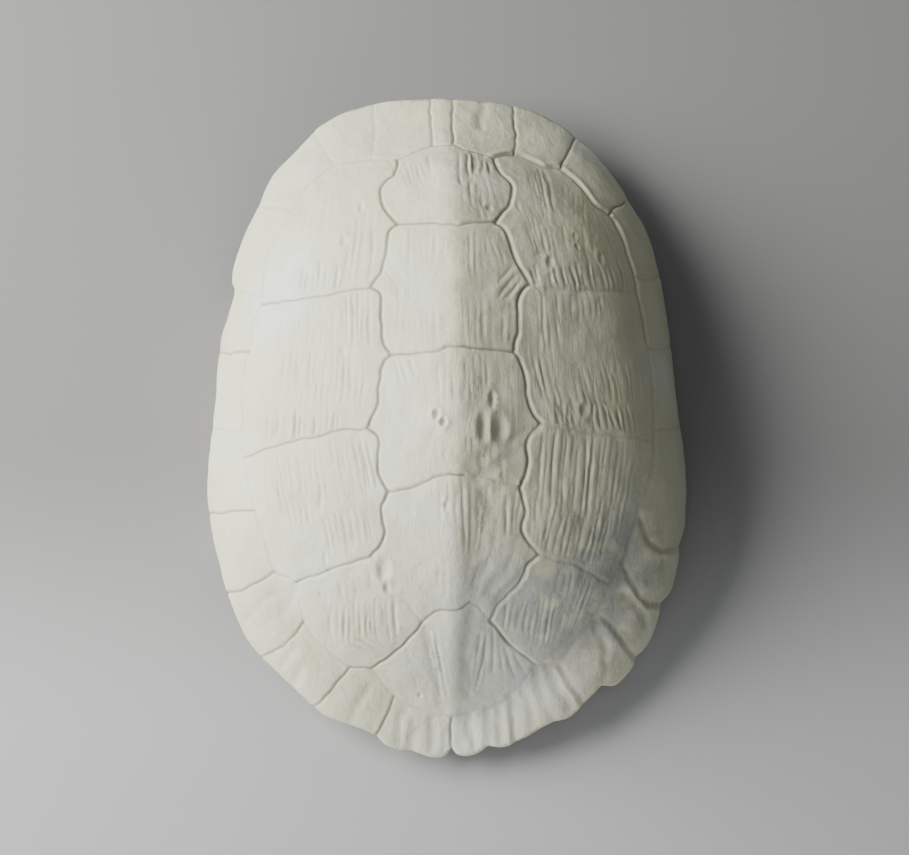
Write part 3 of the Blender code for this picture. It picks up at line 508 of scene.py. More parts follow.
def even_radius(bearing):
    """Plan radius of the even outline on each bearing."""
    orders = np.arange(RIM_HARMONICS)
    return (RIM_WAVES * np.exp(1j * orders * bearing[:, None])).real.sum(axis=1)


def dome_height(plan):
    """Height of the smooth dome over plan points."""
    bearing = np.arctan2(plan[:, 0], plan[:, 1])
    share = np.hypot(*plan.T) / even_radius(bearing)
    oval = np.arctan2(plan[:, 0] / HALF_WIDTH, plan[:, 1] / HALF_LENGTH)
    front, rear = np.maximum(np.cos(oval), 0) ** 2, np.maximum(-np.cos(oval), 0) ** REAR_REACH
    left = front * cubic_through(level_at_start(FRONT_PROFILE), share)
    left += rear * cubic_through(level_at_start(REAR_PROFILE), share)
    left += (1 - front - rear) * cubic_through(level_at_start(SIDE_PROFILE), share)
    rim = rim_height(plan)
    fall = ROOF_SLOPE * (np.hypot(plan[:, 0] - ROOF_MIDDLE, ROOF_ROUND) - ROOF_ROUND)
    roof = ROOF_DROP * np.tanh(fall / ROOF_DROP) * np.clip(1 - share**4, 0, 1)
    return rim + (APEX_HEIGHT - rim) * left - roof


def drop_on_dome(drawn):
    """Plan positions where the sight lines through drawn points meet the dome."""
    height = np.full(len(drawn), APEX_HEIGHT / 2)
    for _ in range(DOME_ROUNDS):
        plan = on_sight_lines(drawn, height)
        height = dome_height(plan)
    return plan


class FlatMap:
    """The dome unrolled round its apex: a point keeps its bearing and its distance along the surface."""

    RIM_MARGIN = 1.1
    STEPS = 440
    HALVINGS = 26
    NORMAL_STEP = 0.6

    def __init__(self):
        self.bearings = np.radians(np.arange(361) - 180.0)
        self.shares = np.linspace(0, self.RIM_MARGIN, self.STEPS + 1)
        reach = even_radius(self.bearings)[:, None] * self.shares
        way = np.stack([np.sin(self.bearings), np.cos(self.bearings)], axis=1)
        plan = reach[:, :, None] * way[:, None, :]
        height = dome_height(plan.reshape(-1, 2)).reshape(reach.shape)
        steps = np.hypot(np.diff(reach, axis=1), np.diff(height, axis=1))
        self.runs = np.hstack([np.zeros((361, 1)), np.cumsum(steps, axis=1)])

    def rows(self, bearing):
        """The two table rows beside each bearing, and how far between them it lies."""
        row = np.degrees(bearing) + 180.0
        low = np.clip(np.floor(row).astype(int), 0, 359)
        return low, row - low

    def run_at(self, bearing, share):
        low, part = self.rows(bearing)
        column = np.clip(share / self.RIM_MARGIN * self.STEPS, 0, self.STEPS - 1e-6)
        left = column.astype(int)
        across = column - left
        near = self.runs[low, left] * (1 - across) + self.runs[low, left + 1] * across
        far = self.runs[low + 1, left] * (1 - across) + self.runs[low + 1, left + 1] * across
        return near * (1 - part) + far * part

    def share_at(self, bearing, run):
        low_share, high_share = np.zeros(len(run)), np.full(len(run), self.RIM_MARGIN)
        for _ in range(self.HALVINGS):
            middle = (low_share + high_share) / 2
            short = self.run_at(bearing, middle) < run
            low_share = np.where(short, middle, low_share)
            high_share = np.where(short, high_share, middle)
        return (low_share + high_share) / 2

    def from_plan(self, plan):
        bearing = np.arctan2(plan[:, 0], plan[:, 1])
        run = self.run_at(bearing, np.hypot(*plan.T) / even_radius(bearing))
        return np.column_stack([run * np.sin(bearing), run * np.cos(bearing)])

    def to_dome(self, flat):
        bearing = np.arctan2(flat[:, 0], flat[:, 1])
        radius = self.share_at(bearing, np.hypot(*flat.T)) * even_radius(bearing)
        plan = np.column_stack([radius * np.sin(bearing), radius * np.cos(bearing)])
        return np.column_stack([plan, dome_height(plan)])

    def normals(self, flat):
        step = self.NORMAL_STEP
        along_x = self.to_dome(flat + (step, 0)) - self.to_dome(flat - (step, 0))
        along_y = self.to_dome(flat + (0, step)) - self.to_dome(flat - (0, step))
        cross = np.cross(along_x, along_y)
        return cross / np.linalg.norm(cross, axis=1)[:, None]

    def drop(self, points, spacing):
        """A drawn line as flat points an even distance apart."""
        return even_steps(self.from_plan(drop_on_dome(smooth_line(points))), spacing)


dome = FlatMap()
print("dome reaches", round(float(dome.runs[:, -1].max()), 1), "mm along the surface from its apex")

# %% [markdown]
# ## Every groove on the map
#
# Seams, creases and growth folds are all grooves that differ in width, depth and wear, so they share one
# form: a line on the flat map, a half width, a depth, a low lip on its left side, a share of darkening that
# is dust with painted shade, a strength along it and how far the plates' edges sink beside it. The lines are
# drawn towards the tail, so the lip is on the side away from the window, where it catches the light. A lip is
# steep towards its groove and falls away slowly behind, as one strip of horn laps the next. Seams keep their
# full strength to their ends, where others meet them, and folds fade out at both ends.

# %% Every groove on the map
SEAM_STEP, FOLD_STEP = 1.0, 1.5
# Half width, depth, height of the lip beside it and share of dust with painted shade, for each kind of groove
DEEP_GROOVE = (0.95, 0.6, 0.1, 2.2)
EDGE_GROOVE = (1.0, 0.5, 0.26, 1.0)
PLAIN_GROOVE = (0.8, 0.5, 0.12, 2.2)
RIM_GROOVE = (1.2, 0.35, 0.6, 0.6)
SOFT_GROOVE = (1.7, 0.22, 0.26, 0.2)
FAINT_GROOVE = (1.2, 0.16, 0.05, 0.22)
CREASE_GROOVE = (3.0, 0.4, 0.0, 0.08)
FOLD_GROOVE = (0.8, 0.19, 0.1, 0.25)
LIP_FALL = 3.0
PLATE_EDGE_DROP, FAINT_EDGE_DROP = 0.25, 0.175
PLATE_EDGE_WIDTH = 4.0

# How far each kind wanders from side to side and how unevenly it is worn, and over how many steps
SEAM_WANDER, CREASE_WANDER, FOLD_WANDER = 0.22, 0.5, 0.15
WANDER_LENGTH = 5
SEAM_WEAR, SEAM_WEAR_LENGTH = 0.16, 9
FOLD_WEAR, FOLD_WEAR_LENGTH = 0.45, 6
FOLD_WEAR_LIMITS = (0.2, 1.8)
# The range of a fold's depth beside its row's, and the angle at which its fade starts and ends
FOLD_DEPTHS = (0.55, 1.35)
FOLD_END = 0.12

# Spread of a fold's ends, across and along, and of its middle, in drawing units
END_SPREAD = np.array((0.65, 2.86))
MIDDLE_SPREAD = 0.8
# Spread of a fold's place in its row, as a share of the step from fold to fold
PLACE_SPREAD = 0.14
SEED = 7
random = np.random.default_rng(SEED)


def seam(points, groove, edge_drop, wander=SEAM_WANDER):
    """One seam, with a little wander and uneven wear."""
    line = wandering(dome.drop(points, SEAM_STEP), random, wander, WANDER_LENGTH)
    strength = 1 + SEAM_WEAR * np.clip(soft_noise(random, len(line), SEAM_WEAR_LENGTH), -2, 2)
    return line, *groove, strength, edge_drop


def fold(start, end, depth):
    """One growth fold between two drawn points, bent, shifted and faded at both ends."""
    start, end = start + END_SPREAD * random.normal(size=2), end + END_SPREAD * random.normal(size=2)
    middle = (start + end) / 2 + random.normal(0, MIDDLE_SPREAD, 2)
    line = wandering(dome.drop((start, middle, end), FOLD_STEP), random, FOLD_WANDER, WANDER_LENGTH)
    fade = np.sqrt(np.sin(np.linspace(FOLD_END, math.pi - FOLD_END, len(line))))
    wear = 1 + FOLD_WEAR * soft_noise(random, len(line), FOLD_WEAR_LENGTH)
    wear = np.clip(wear, *FOLD_WEAR_LIMITS)
    return line, *FOLD_GROOVE, depth * random.uniform(*FOLD_DEPTHS) * fade * wear, 0.0


def folds_between(first, last, count, depth):
    """One row of growth folds, spread nearly evenly between its first and last."""
    first, last = np.array(first, float), np.array(last, float)
    spread = np.linspace(0, 1, count) + random.normal(0, PLACE_SPREAD / count, count)
    return [fold(*(first + (last - first) * share), depth) for share in spread]


# Soft folds on the last middle plates, and others that cross the rim's plates round the tail
SOFT_FOLDS = (
    ((478, 476), (494, 466), (516, 452)),
    ((513, 558), (501, 574), (489, 590)),
    ((522, 574), (508, 588), (499, 598)),
    ((484, 492), (490, 508), (486, 526)),
    ((664, 560), (655, 572), (648, 580)),
    ((646, 622), (634, 604), (626, 594)),
    ((570, 706), (560, 690), (552, 676)),
    ((534, 724), (529, 706), (524, 692)),
    ((500, 738), (499, 722), (498, 708)),
    ((474, 746), (472, 730), (470, 716)),
    ((432, 746), (432, 732), (432, 720)),
    ((398, 740), (401, 724), (404, 710)),
    ((352, 716), (360, 702), (368, 688)),
    ((282, 664), (288, 656), (294, 648)),
    ((246, 618), (258, 606), (270, 596)),
)

# The rim flares, so a shallow valley follows its inner seam round the tail. Its depths are in millimetres,
# at even steps from end to end.
FLARE_LINE = (
    (650, 470), (641, 513), (626, 566), (599, 617), (558, 663), (524, 684), (496, 706),
    (452, 716), (411, 706), (371, 675), (340, 658), (303, 622), (274, 571), (254, 510),
)
FLARE_DEPTHS = (0, 1.3, 1.9, 1.9, 1.4, 0.9, 0.9, 0.9, 0.8, 0.5, 0.6, 0.8, 0.6, 0)
FLARE_WIDTH = 7.0

# The seams right of the middle row have high lips and little dust and painted shade. Between the ribs' plates
# and the rim's plates the lip is highest at the right of the neck. Farther back on the right those seams are
# worn soft, and so are the last ones across the rim.
SEAM_KINDS = (
    (EDGE_GROOVE, DEEP_SEAMS[-8:]),
    (RIM_GROOVE, PLAIN_SEAMS[11:13]),
    (SOFT_GROOVE, PLAIN_SEAMS[13:15] + PLAIN_SEAMS[-5:]),
    (DEEP_GROOVE, DEEP_SEAMS),
    (PLAIN_GROOVE, PLAIN_SEAMS),
)


def kind_of(line):
    """The first kind of groove that lists a seam."""
    return next(kind for kind, lines in SEAM_KINDS if line in lines)


seams = [seam(line, kind_of(line), PLATE_EDGE_DROP) for line in DEEP_SEAMS + PLAIN_SEAMS]
seams += [seam(line, FAINT_GROOVE, FAINT_EDGE_DROP) for line in FAINT_SEAMS]
seams += [seam(line, CREASE_GROOVE, 0.0, CREASE_WANDER) for line in CREASES + SOFT_FOLDS]
folds = [groove for row in GROWTH_FOLDS for groove in folds_between(*row)]
keel, flare = dome.drop(KEEL_LINE, 4.0), dome.drop(FLARE_LINE, 4.0)
pit_centres = dome.from_plan(drop_on_dome(np.array([centre for centre, _, _ in PITS], float)))
print(len(seams), "seams and creases,", len(folds), "growth folds,", len(PITS), "pits")

# %% [markdown]
# ## Where the mesh needs points
#
# A groove stays crisp when rows of points run along it, one down its middle and others on its walls, and the
# rest of the dome needs only an even filling. So the rows are laid first, seams before folds, a point that
# falls too near an earlier one is left out, and a triangular grid fills the gaps. A Delaunay triangulation
# of the flat map then joins them. A regular grid fine enough to hold the same seams would take several
# times as many triangles.

# %% Where the mesh needs points
RIM_SPACING = 1.5
FILL_SPACING = 1.3
SEAM_ROWS = (0, 0.4, 0.8, 1.2, 1.65, 2.1)
FOLD_ROWS = (0, 0.6, 1.2)
PIT_RINGS = (0, 0.45, 0.9, 1.35, 1.8, 2.3)
# The least gap in millimetres between points of each sort, and from the rim to any row
PIT_GAP, SEAM_GAP, FOLD_GAP, RIM_GAP = 0.45, 0.36, 0.42, 0.5


class Sieve:
    """Collects points and leaves out each one that is too near to one already kept."""

    def __init__(self, cell):
        self.kept = []
        self.cell = cell
        self.cells = {}

    def crowded(self, point, gap):
        column, row = math.floor(point[0] / self.cell), math.floor(point[1] / self.cell)
        for i in (column - 1, column, column + 1):
            for j in (row - 1, row, row + 1):
                if any(math.dist(point, other) < gap for other in self.cells.get((i, j), ())):
                    return True
        return False

    def add(self, points, gap):
        for point in points.tolist():
            if gap and self.crowded(point, gap):
                continue
            self.kept.append(point)
            cell = math.floor(point[0] / self.cell), math.floor(point[1] / self.cell)
            self.cells.setdefault(cell, []).append(point)


def hexagon_grid(reach, spacing):
    """Points of an even triangular grid that covers a square."""
    count = int(reach / spacing) + 2
    columns, rows = np.meshgrid(np.arange(-count, count + 1), np.arange(-count, count + 1))
    x = (columns + 0.5 * (rows % 2)) * spacing
    return np.column_stack([x.ravel(), (rows * spacing * math.sqrt(3) / 2).ravel()])


def inside_ring(flat, ring, margin):
    """The points that lie inside a ring round the apex by at least a margin."""
    bearing = np.arctan2(flat[:, 0], flat[:, 1])
    ring_bearing = np.arctan2(ring[:, 0], ring[:, 1])
    limit = np.interp(bearing, ring_bearing, np.hypot(*ring.T), period=2 * math.pi)
    return flat[np.hypot(*flat.T) < limit - margin]


def both_sides(groove, share):
    """The rows of points on both sides of a groove, at a share of its half width."""
    line, half_width = groove[:2]
    return [beside(line, side * share * half_width) for side in ((1, -1) if share else (1,))]


def pit_rings():
    """Rings of points round every pit, as shares of its half size."""
    turns = np.linspace(0, 2 * math.pi, 16, endpoint=False)
    ring = np.column_stack([np.cos(turns), np.sin(turns)])
    for centre, (_, half_size, _) in zip(pit_centres, PITS):
        for share in PIT_RINGS:
            yield centre + share * ring * half_size


def outer_points(rim):
    """Flat points of the outer mesh: the rim, the pits' rings, the grooves' rows and an even filling."""
    sieve = Sieve(FILL_SPACING)
    sieve.add(rim, 0)
    sieve.add(np.vstack(list(pit_rings())), PIT_GAP)
    for grooves, shares, gap in ((seams, SEAM_ROWS, SEAM_GAP), (folds, FOLD_ROWS, FOLD_GAP)):
        for share in shares:
            for groove in grooves:
                for row in both_sides(groove, share):
                    sieve.add(inside_ring(row, rim, RIM_GAP), gap)
        print("  points so far", len(sieve.kept))
    grid = hexagon_grid(MAP_REACH, FILL_SPACING)
    sieve.add(inside_ring(grid, rim, 0.5 * FILL_SPACING), 0.6 * FILL_SPACING)
    return np.array(sieve.kept)


def triangles_inside(points, ring_size):
    """Delaunay triangles of flat points whose first ones are the boundary ring."""
    vectors = [Vector(point) for point in points]
    ring = [(i, (i + 1) % ring_size) for i in range(ring_size)]
    _, _, faces, origins, _, _ = delaunay_2d_cdt(vectors, ring, [], 1, 1e-7)
    source = [origin[0] for origin in origins]
    return [tuple(source[corner] for corner in face) for face in faces]


plan_rim = drawn_rim(RIM_SPACING)
flat_rim = dome.from_plan(plan_rim)
outer_flat = outer_points(flat_rim)
outer_faces = triangles_inside(outer_flat, len(flat_rim))
print("outer surface:", len(outer_flat), "points,", len(outer_faces), "triangles")

# %% [markdown]
# ## Relief
#
# The height of the worked surface over the smooth dome is a sum: the deepest groove at each point, the low
# lips and sunk plate edges beside it, the keel, the valley inside the flared rim, and the pits as small bowls
# with a raised lip. One more number is kept for each point: how dark a groove is painted, for the dust that
# gathers in it and as painted shade.

# %% Relief
# Where a lip's crest lies, in half widths from the groove's middle
LIP_PLACE = 1.6
# How fast a groove wipes out the lips and the folds that it meets
LIP_FADE, FOLD_FADE = 12, 3
# Reach of a groove's relief: with sunk plate edges, in edge widths, and without, in half widths
EDGE_REACH, LIP_REACH = 2.2, 4.4
# Height of a pit's lip as a share of its depth, where its crest lies in half sizes, and how narrow it is
PIT_LIP_SHARE, PIT_LIP_PLACE, PIT_LIP_NARROWNESS = 0.28, 1.7, 4


def near_line(flat, line, reach):
    """Which points lie near a line, how far off to its left each is, and how far along, from 0 to 1."""
    near = np.flatnonzero(((flat > line.min(0) - reach) & (flat < line.max(0) + reach)).all(axis=1))
    starts, ways = line[:-1], np.diff(line, axis=0)
    offsets = flat[near][:, None] - starts
    part = np.clip((offsets * ways).sum(2) / (ways**2).sum(1), 0, 1)
    gaps = np.linalg.norm(offsets - part[:, :, None] * ways, axis=2)
    closest = gaps.argmin(axis=1)
    rows = np.arange(len(near))
    way, offset = ways[closest], offsets[rows, closest]
    side = np.where(way[:, 0] * offset[:, 1] < way[:, 1] * offset[:, 0], -1, 1)
    return near, side * gaps[rows, closest], (closest + part[rows, closest]) / len(ways)


def groove_relief(flat, grooves):
    """Rise or fall made by grooves with their lips and plate edges, and the share of dust and painted shade.
    """
    cut, lip, drop, dust_and_shade = np.zeros((4, len(flat)))
    for line, half_width, depth, rise, dust_and_shade_amount, strength, edge_drop in grooves:
        reach = EDGE_REACH * PLATE_EDGE_WIDTH if edge_drop else LIP_REACH * half_width
        near, gap, along = near_line(flat, line, reach)
        force = np.interp(along, np.linspace(0, 1, len(strength)), strength)
        wall = np.maximum(1 - (gap / half_width) ** 2, 0)
        cut[near] = np.maximum(cut[near], depth * force * wall**1.5)
        behind = 2 * (gap / half_width - LIP_PLACE)
        behind = np.where(behind > 0, behind / LIP_FALL, behind)
        lip[near] = np.maximum(lip[near], rise * force * np.exp(-(behind**2)))
        drop[near] = np.maximum(drop[near], edge_drop * np.exp(-((gap / PLATE_EDGE_WIDTH) ** 2)))
        dust_and_shade[near] = np.maximum(dust_and_shade[near], dust_and_shade_amount * force * wall**3)
    return lip * np.exp(-LIP_FADE * cut) - cut - drop, dust_and_shade


def pit_relief(flat):
    """The pits as bowls, each with a low lip round it."""
    total = np.zeros(len(flat))
    for centre, (_, half_size, depth) in zip(pit_centres, PITS):
        away = np.linalg.norm((flat - centre) / half_size, axis=1)
        lip = PIT_LIP_SHARE * np.exp(-PIT_LIP_NARROWNESS * (away - PIT_LIP_PLACE) ** 2)
        total += depth * (lip - np.exp(-(away**3)))
    return total


def ridge_relief(flat, line, heights, width):
    """A soft ridge along a line, with its heights spread evenly from end to end."""
    total = np.zeros(len(flat))
    near, gap, along = near_line(flat, line, 3 * width)
    spots = np.linspace(0, 1, len(heights))
    total[near] = np.interp(along, spots, heights) * np.exp(-((gap / width) ** 2))
    return total


def surface_relief(flat):
    """How far the worked surface stands above the smooth dome, and the share of dust and painted shade."""
    seam_relief, dust_and_shade = groove_relief(flat, seams)
    fold_relief, fold_dust_and_shade = groove_relief(flat, folds)
    total = pit_relief(flat) + seam_relief + fold_relief * np.exp(-FOLD_FADE * dust_and_shade)
    total += ridge_relief(flat, keel, KEEL_HEIGHTS, KEEL_WIDTH)
    total -= ridge_relief(flat, flare, FLARE_DEPTHS, FLARE_WIDTH)
    return total, np.maximum(dust_and_shade, fold_dust_and_shade)


outer_relief, outer_dust_and_shade = surface_relief(outer_flat)
outer_base, outward = dome.to_dome(outer_flat), dome.normals(outer_flat)
print("relief from", round(outer_relief.min(), 2), "to", round(outer_relief.max(), 2), "mm")

# %% [markdown]
# ## The rim's edge, the sawn bridges and the hollow
#
# Nobody sees the underside in the photograph, but the shell is one hollow piece and can be picked up. Its
# wall turns under at the rim in a rounded edge. Along the sides, where the bridges to the lower shell were
# sawn through, the edge runs down to two flat strips, and the shell rests on those. Inside is bare bone: the
# backbone stands out as a ridge and the ribs as low swellings across the dome.

# %% The rim's edge, the sawn bridges and the hollow
INNER_SPACING = 3.4
RIB_PITCH = 24.0
RIB_HEIGHT = 0.7
RIB_SLANT = 0.12
# Where the ribs' swellings begin and end, out from the backbone and towards neck and tail
RIB_START, RIB_END, RIB_LAST = (6.0, 16.0), (66.0, 78.0), (88.0, 96.0)


def rise(values, span):
    """0 before a span, 1 after it, and straight between."""
    return np.clip((values - span[0]) / (span[1] - span[0]), 0, 1)


def foot_share(y):
    """1 along the sawn bridges, 0 away from them, with a smooth change between."""
    rear = np.clip((y - FOOT_REAR + FOOT_FADE) / FOOT_FADE, 0, 1)
    front = np.clip((FOOT_FRONT + FOOT_FADE - y) / FOOT_FADE, 0, 1)
    share = np.minimum(rear, front)
    return (share * share * (3 - 2 * share))[:, None]


def moved_in(rim, distance, height):
    """The rim's points moved inwards in plan, at a new height."""
    way = rim[:, :2] / (HALF_WIDTH**2, HALF_LENGTH**2)
    way /= np.linalg.norm(way, axis=1)[:, None]
    return np.column_stack([rim[:, :2] - distance * way, height])


def under_dome(even_rim, inset, depth):
    """Points a way in from the rim along the surface, and a depth below it."""
    blend = inset / INNER_RING_DEPTH
    line = flat_rim * (1 - blend) + even_rim * blend
    run = np.linalg.norm(line, axis=1)[:, None]
    flat = line * (1 - inset / run)
    return dome.to_dome(flat) - depth * dome.normals(flat), flat


def under_rings(rim, even_plan, even_rim):
    """Rings that turn the wall under at the rim, and down to the sawn bridges at the sides."""
    foot = foot_share(rim[:, 1])
    low = 0 * rim[:, 2]
    lip = [moved_in(rim, EDGE_ROUND, rim[:, 2] - LIP_EDGE)]
    lip += [under_dome(even_rim, inset, depth)[0] for inset, depth in LIP_RINGS]
    bridge = [
        moved_in(rim, EDGE_ROUND, rim[:, 2] - BRIDGE_EDGE),
        moved_in(even_plan, BRIDGE_WAIST, BRIDGE_WAIST_SHARE * rim[:, 2]),
        moved_in(even_plan, FOOT_INSET, low),
        moved_in(even_plan, FOOT_INSET + FOOT_WIDTH, low),
        moved_in(even_plan, FOOT_INSET + FOOT_WIDTH, low + FOOT_INNER_HEIGHT),
    ]
    return [a + (b - a) * foot for a, b in zip(lip, bridge)]


def inner_wall(flat):
    """Points of the hollow's surface, with the ridge of backbone and the ribs standing down from it."""
    x, y = np.abs(flat[:, 0]), flat[:, 1]
    spine_end = np.clip((SPINE_REACH - np.abs(y)) / SPINE_WIDTH, 0, 1)
    ridge = SPINE_HEIGHT * np.exp(-((x / SPINE_WIDTH) ** 2)) * spine_end
    spread = rise(x, RIB_START) * (1 - rise(x, RIB_END)) * (1 - rise(np.abs(y), RIB_LAST))
    ribs = RIB_HEIGHT * np.maximum(np.cos(2 * math.pi * (y + RIB_SLANT * x) / RIB_PITCH), 0) ** 2 * spread
    return dome.to_dome(flat) - (WALL + ridge + ribs)[:, None] * dome.normals(flat)


def inner_points(ring):
    """Flat points of the inner mesh: its ring and an even filling."""
    sieve = Sieve(INNER_SPACING)
    sieve.add(ring, 0)
    grid = hexagon_grid(MAP_REACH, INNER_SPACING)
    sieve.add(inside_ring(grid, ring, 0.5 * INNER_SPACING), 0.5 * INNER_SPACING)
    return np.array(sieve.kept)


def ring_strip(first, second, count):
    """Quads between two rings of points with the given first numbers."""
    after = (np.arange(count) + 1) % count
    here = np.arange(count)
    return np.column_stack([first + here, first + after, second + after, second + here]).tolist()


ring_size = len(flat_rim)
rim = (outer_base + outer_relief[:, None] * outward)[:ring_size]
bearing = np.arctan2(plan_rim[:, 0], plan_rim[:, 1])
even_plan = even_radius(bearing)[:, None] * plan_rim / np.linalg.norm(plan_rim, axis=1)[:, None]
even_rim = dome.from_plan(even_plan)
rings = under_rings(rim, even_plan, even_rim)
inner_flat = inner_points(under_dome(even_rim, INNER_RING_DEPTH, WALL)[1])
inner = inner_wall(inner_flat)

faces = list(outer_faces)
previous, start = 0, len(outer_flat)
for _ in (*rings, inner):
    faces += ring_strip(previous, start, ring_size)
    previous, start = start, start + ring_size
for face in triangles_inside(inner_flat, ring_size):
    faces.append(tuple(previous + corner for corner in face[::-1]))
print("underside:", ring_size * len(rings), "points on", len(rings), "rings and", len(inner), "in the hollow")

# %% [markdown]
# ## The mesh and what it remembers
#
# The points go into one closed mesh, still with a smooth outside. What was worked out above is stored on the
# points as named attributes, so that the next step can raise the relief and the materials can read where
# dust and painted shade darken the grooves.

# %% The mesh and what it remembers
MM = 0.001


def middle_in_plan(points):
    """The middle in plan of the worked surface and these points together."""
    worked = outer_base + outer_relief[:, None] * outward
    everything = np.vstack([worked, *points])
    low, high = everything.min(axis=0), everything.max(axis=0)
    return np.array(((low[0] + high[0]) / 2, (low[1] + high[1]) / 2, 0.0))


def store(mesh, name, kind, values):
    """Keeps one value or vector a point under a name."""
    attribute = mesh.attributes.new(name, kind, "POINT")
    field = "vector" if kind == "FLOAT_VECTOR" else "value"
    attribute.data.foreach_set(field, np.ascontiguousarray(values, np.float32).ravel())


shell_middle = middle_in_plan([*rings, inner])
points = np.vstack([outer_base, *rings, inner]) - shell_middle
hidden = len(points) - len(outer_flat)
mesh = bpy.data.meshes.new("turtle_shell")
mesh.from_pydata((points * MM).tolist(), [], faces)
work = bmesh.new()
work.from_mesh(mesh)
bmesh.ops.recalc_face_normals(work, faces=work.faces)
work.to_mesh(mesh)
work.free()
mesh.shade_smooth()
store(mesh, "relief", "FLOAT", np.concatenate([outer_relief * MM, np.zeros(hidden)]))
store(mesh, "outward", "FLOAT_VECTOR", np.vstack([outward, np.zeros((hidden, 3))]))
store(mesh, "dust_and_shade", "FLOAT", np.concatenate([np.clip(outer_dust_and_shade, 0, 1), np.zeros(hidden)]))
store(mesh, "skin", "FLOAT", np.concatenate([np.ones(len(outer_flat)), np.zeros(hidden)]))
shell = bpy.data.objects.new("turtle_shell", mesh)
bpy.context.scene.collection.objects.link(shell)
print("mesh:", len(mesh.vertices), "points,", len(mesh.polygons), "faces")

# %% [markdown]
# ## Raising and weathering the surface
#
# The same rule holds at every point of the shell: move it outwards by its relief, and add the slow swells
# and the fine unevenness that years of drying leave. A rule like that is what Geometry Nodes are for, and
# its named inputs make the shell easy to change: a relief scale of 0 gives a smooth dome, 2 a caricature.
# The tree also dresses the outside in horn and the inside in bone by the stored skin value.

# %% Raising and weathering the surface
def add(tree, kind, inputs=(), **settings):
    """A node of this kind with its settings, and its inputs set to a value or linked to a socket."""
    made = tree.nodes.new(kind)
    for name, value in settings.items():
        setattr(made, name, value)
    for key, value in dict(inputs).items():
        if isinstance(value, bpy.types.NodeSocket):
            tree.links.new(value, made.inputs[key])
        else:
            made.inputs[key].default_value = value
    return made


def maths(tree, operation, *values, clamp=False):
    """The result of a Math node on values or sockets."""
    return add(tree, "ShaderNodeMath", enumerate(values), operation=operation, use_clamp=clamp).outputs[0]


def remembered(tree, name, kind="FLOAT"):
    """A value that the mesh keeps under a name."""
    return add(tree, "GeometryNodeInputNamedAttribute", {"Name": name}, data_type=kind).outputs["Attribute"]


def uneven(tree, position, size, height, detail):
    """Noise of this size, up and down by half a height."""
    scale = maths(tree, "DIVIDE", 1.0, size)
    noise = add(tree, "ShaderNodeTexNoise", {"Vector": position, "Scale": scale, "Detail": detail})
    centred = maths(tree, "SUBTRACT", noise.outputs[0], 0.5)
    return maths(tree, "MULTIPLY", centred, height)


def named_inputs(tree, inputs):
    """Makes the tree's sockets and returns the identifier of each input."""
    tree.interface.new_socket("Geometry", in_out="OUTPUT", socket_type="NodeSocketGeometry")
    tree.interface.new_socket("Geometry", in_out="INPUT", socket_type="NodeSocketGeometry")
    kinds = {float: "NodeSocketFloat", bpy.types.Material: "NodeSocketMaterial"}
    found = {}
    for name, value in inputs.items():
        kind = next(kinds[of] for of in kinds if isinstance(value, of))
        found[name] = tree.interface.new_socket(name, in_out="INPUT", socket_type=kind).identifier
    return found


def weather_surface(tree):
    """Fills the tree that raises the relief, adds unevenness and dresses the shell."""
    given = add(tree, "NodeGroupInput").outputs
    position = add(tree, "GeometryNodeInputPosition").outputs[0]
    skin = remembered(tree, "skin")
    swell = uneven(tree, position, given["Swell size"], given["Swell height"], 1.0)
    rough = uneven(tree, position, given["Rough size"], given["Rough height"], 3.0)
    worn = maths(tree, "MULTIPLY", maths(tree, "ADD", swell, rough), skin)
    raised = maths(tree, "MULTIPLY", remembered(tree, "relief"), given["Relief scale"])
    height = maths(tree, "ADD", raised, worn)
    outward = remembered(tree, "outward", "FLOAT_VECTOR")
    offset = add(tree, "ShaderNodeVectorMath", {0: outward, "Scale": height}, operation="SCALE").outputs[0]
    moved = add(tree, "GeometryNodeSetPosition", {"Geometry": given["Geometry"], "Offset": offset}).outputs[0]
    real = add(tree, "GeometryNodeRealizeInstances", {"Geometry": moved}).outputs[0]
    horn = add(tree, "GeometryNodeSetMaterial", {"Geometry": real, "Material": given["Outside"]}).outputs[0]
    under = add(tree, "FunctionNodeCompare", {0: skin, 1: 0.5}, data_type="FLOAT", operation="LESS_THAN")
    ends = {"Geometry": horn, "Selection": under.outputs[0], "Material": given["Inside"]}
    dressed = add(tree, "GeometryNodeSetMaterial", ends).outputs[0]
    add(tree, "NodeGroupOutput", {"Geometry": dressed})


def run_on(piece, title, fill, inputs):
    """Runs a Geometry Nodes tree with these inputs on a piece and keeps the result as its plain mesh."""
    tree = bpy.data.node_groups.new(title, "GeometryNodeTree")
    sockets = named_inputs(tree, inputs)
    fill(tree)
    modifier = piece.modifiers.new(title, "NODES")
    modifier.node_group = tree
    for name, value in inputs.items():
        modifier[sockets[name]] = value
    graph = bpy.context.evaluated_depsgraph_get()
    made = bpy.data.meshes.new_from_object(piece.evaluated_get(graph))
    piece.modifiers.remove(modifier)
    piece.data = made
    return made


horn = bpy.data.materials.new("bleached_horn")
bone = bpy.data.materials.new("bare_bone")
weathering = {
    "Relief scale": 1.0,
    "Swell size": 0.017,
    "Swell height": 0.0013,
    "Rough size": 0.005,
    "Rough height": 0.00045,
    "Outside": horn,
    "Inside": bone,
}
made = run_on(shell, "weather_surface", weather_surface, weathering)
print("weathered:", len(made.vertices), "points,", [material.name for material in made.materials])

# %% [markdown]
# ## Two effects that the materials share
#
# Dry horn, bare bone and the paper it lies on are all chalky, so they share two small groups of nodes. One
# mottles a pale colour towards a duller one in soft patches, the other gives the grain its normal and an
# uneven roughness. They put out only a colour, a normal and a value, and each material keeps its own shader.

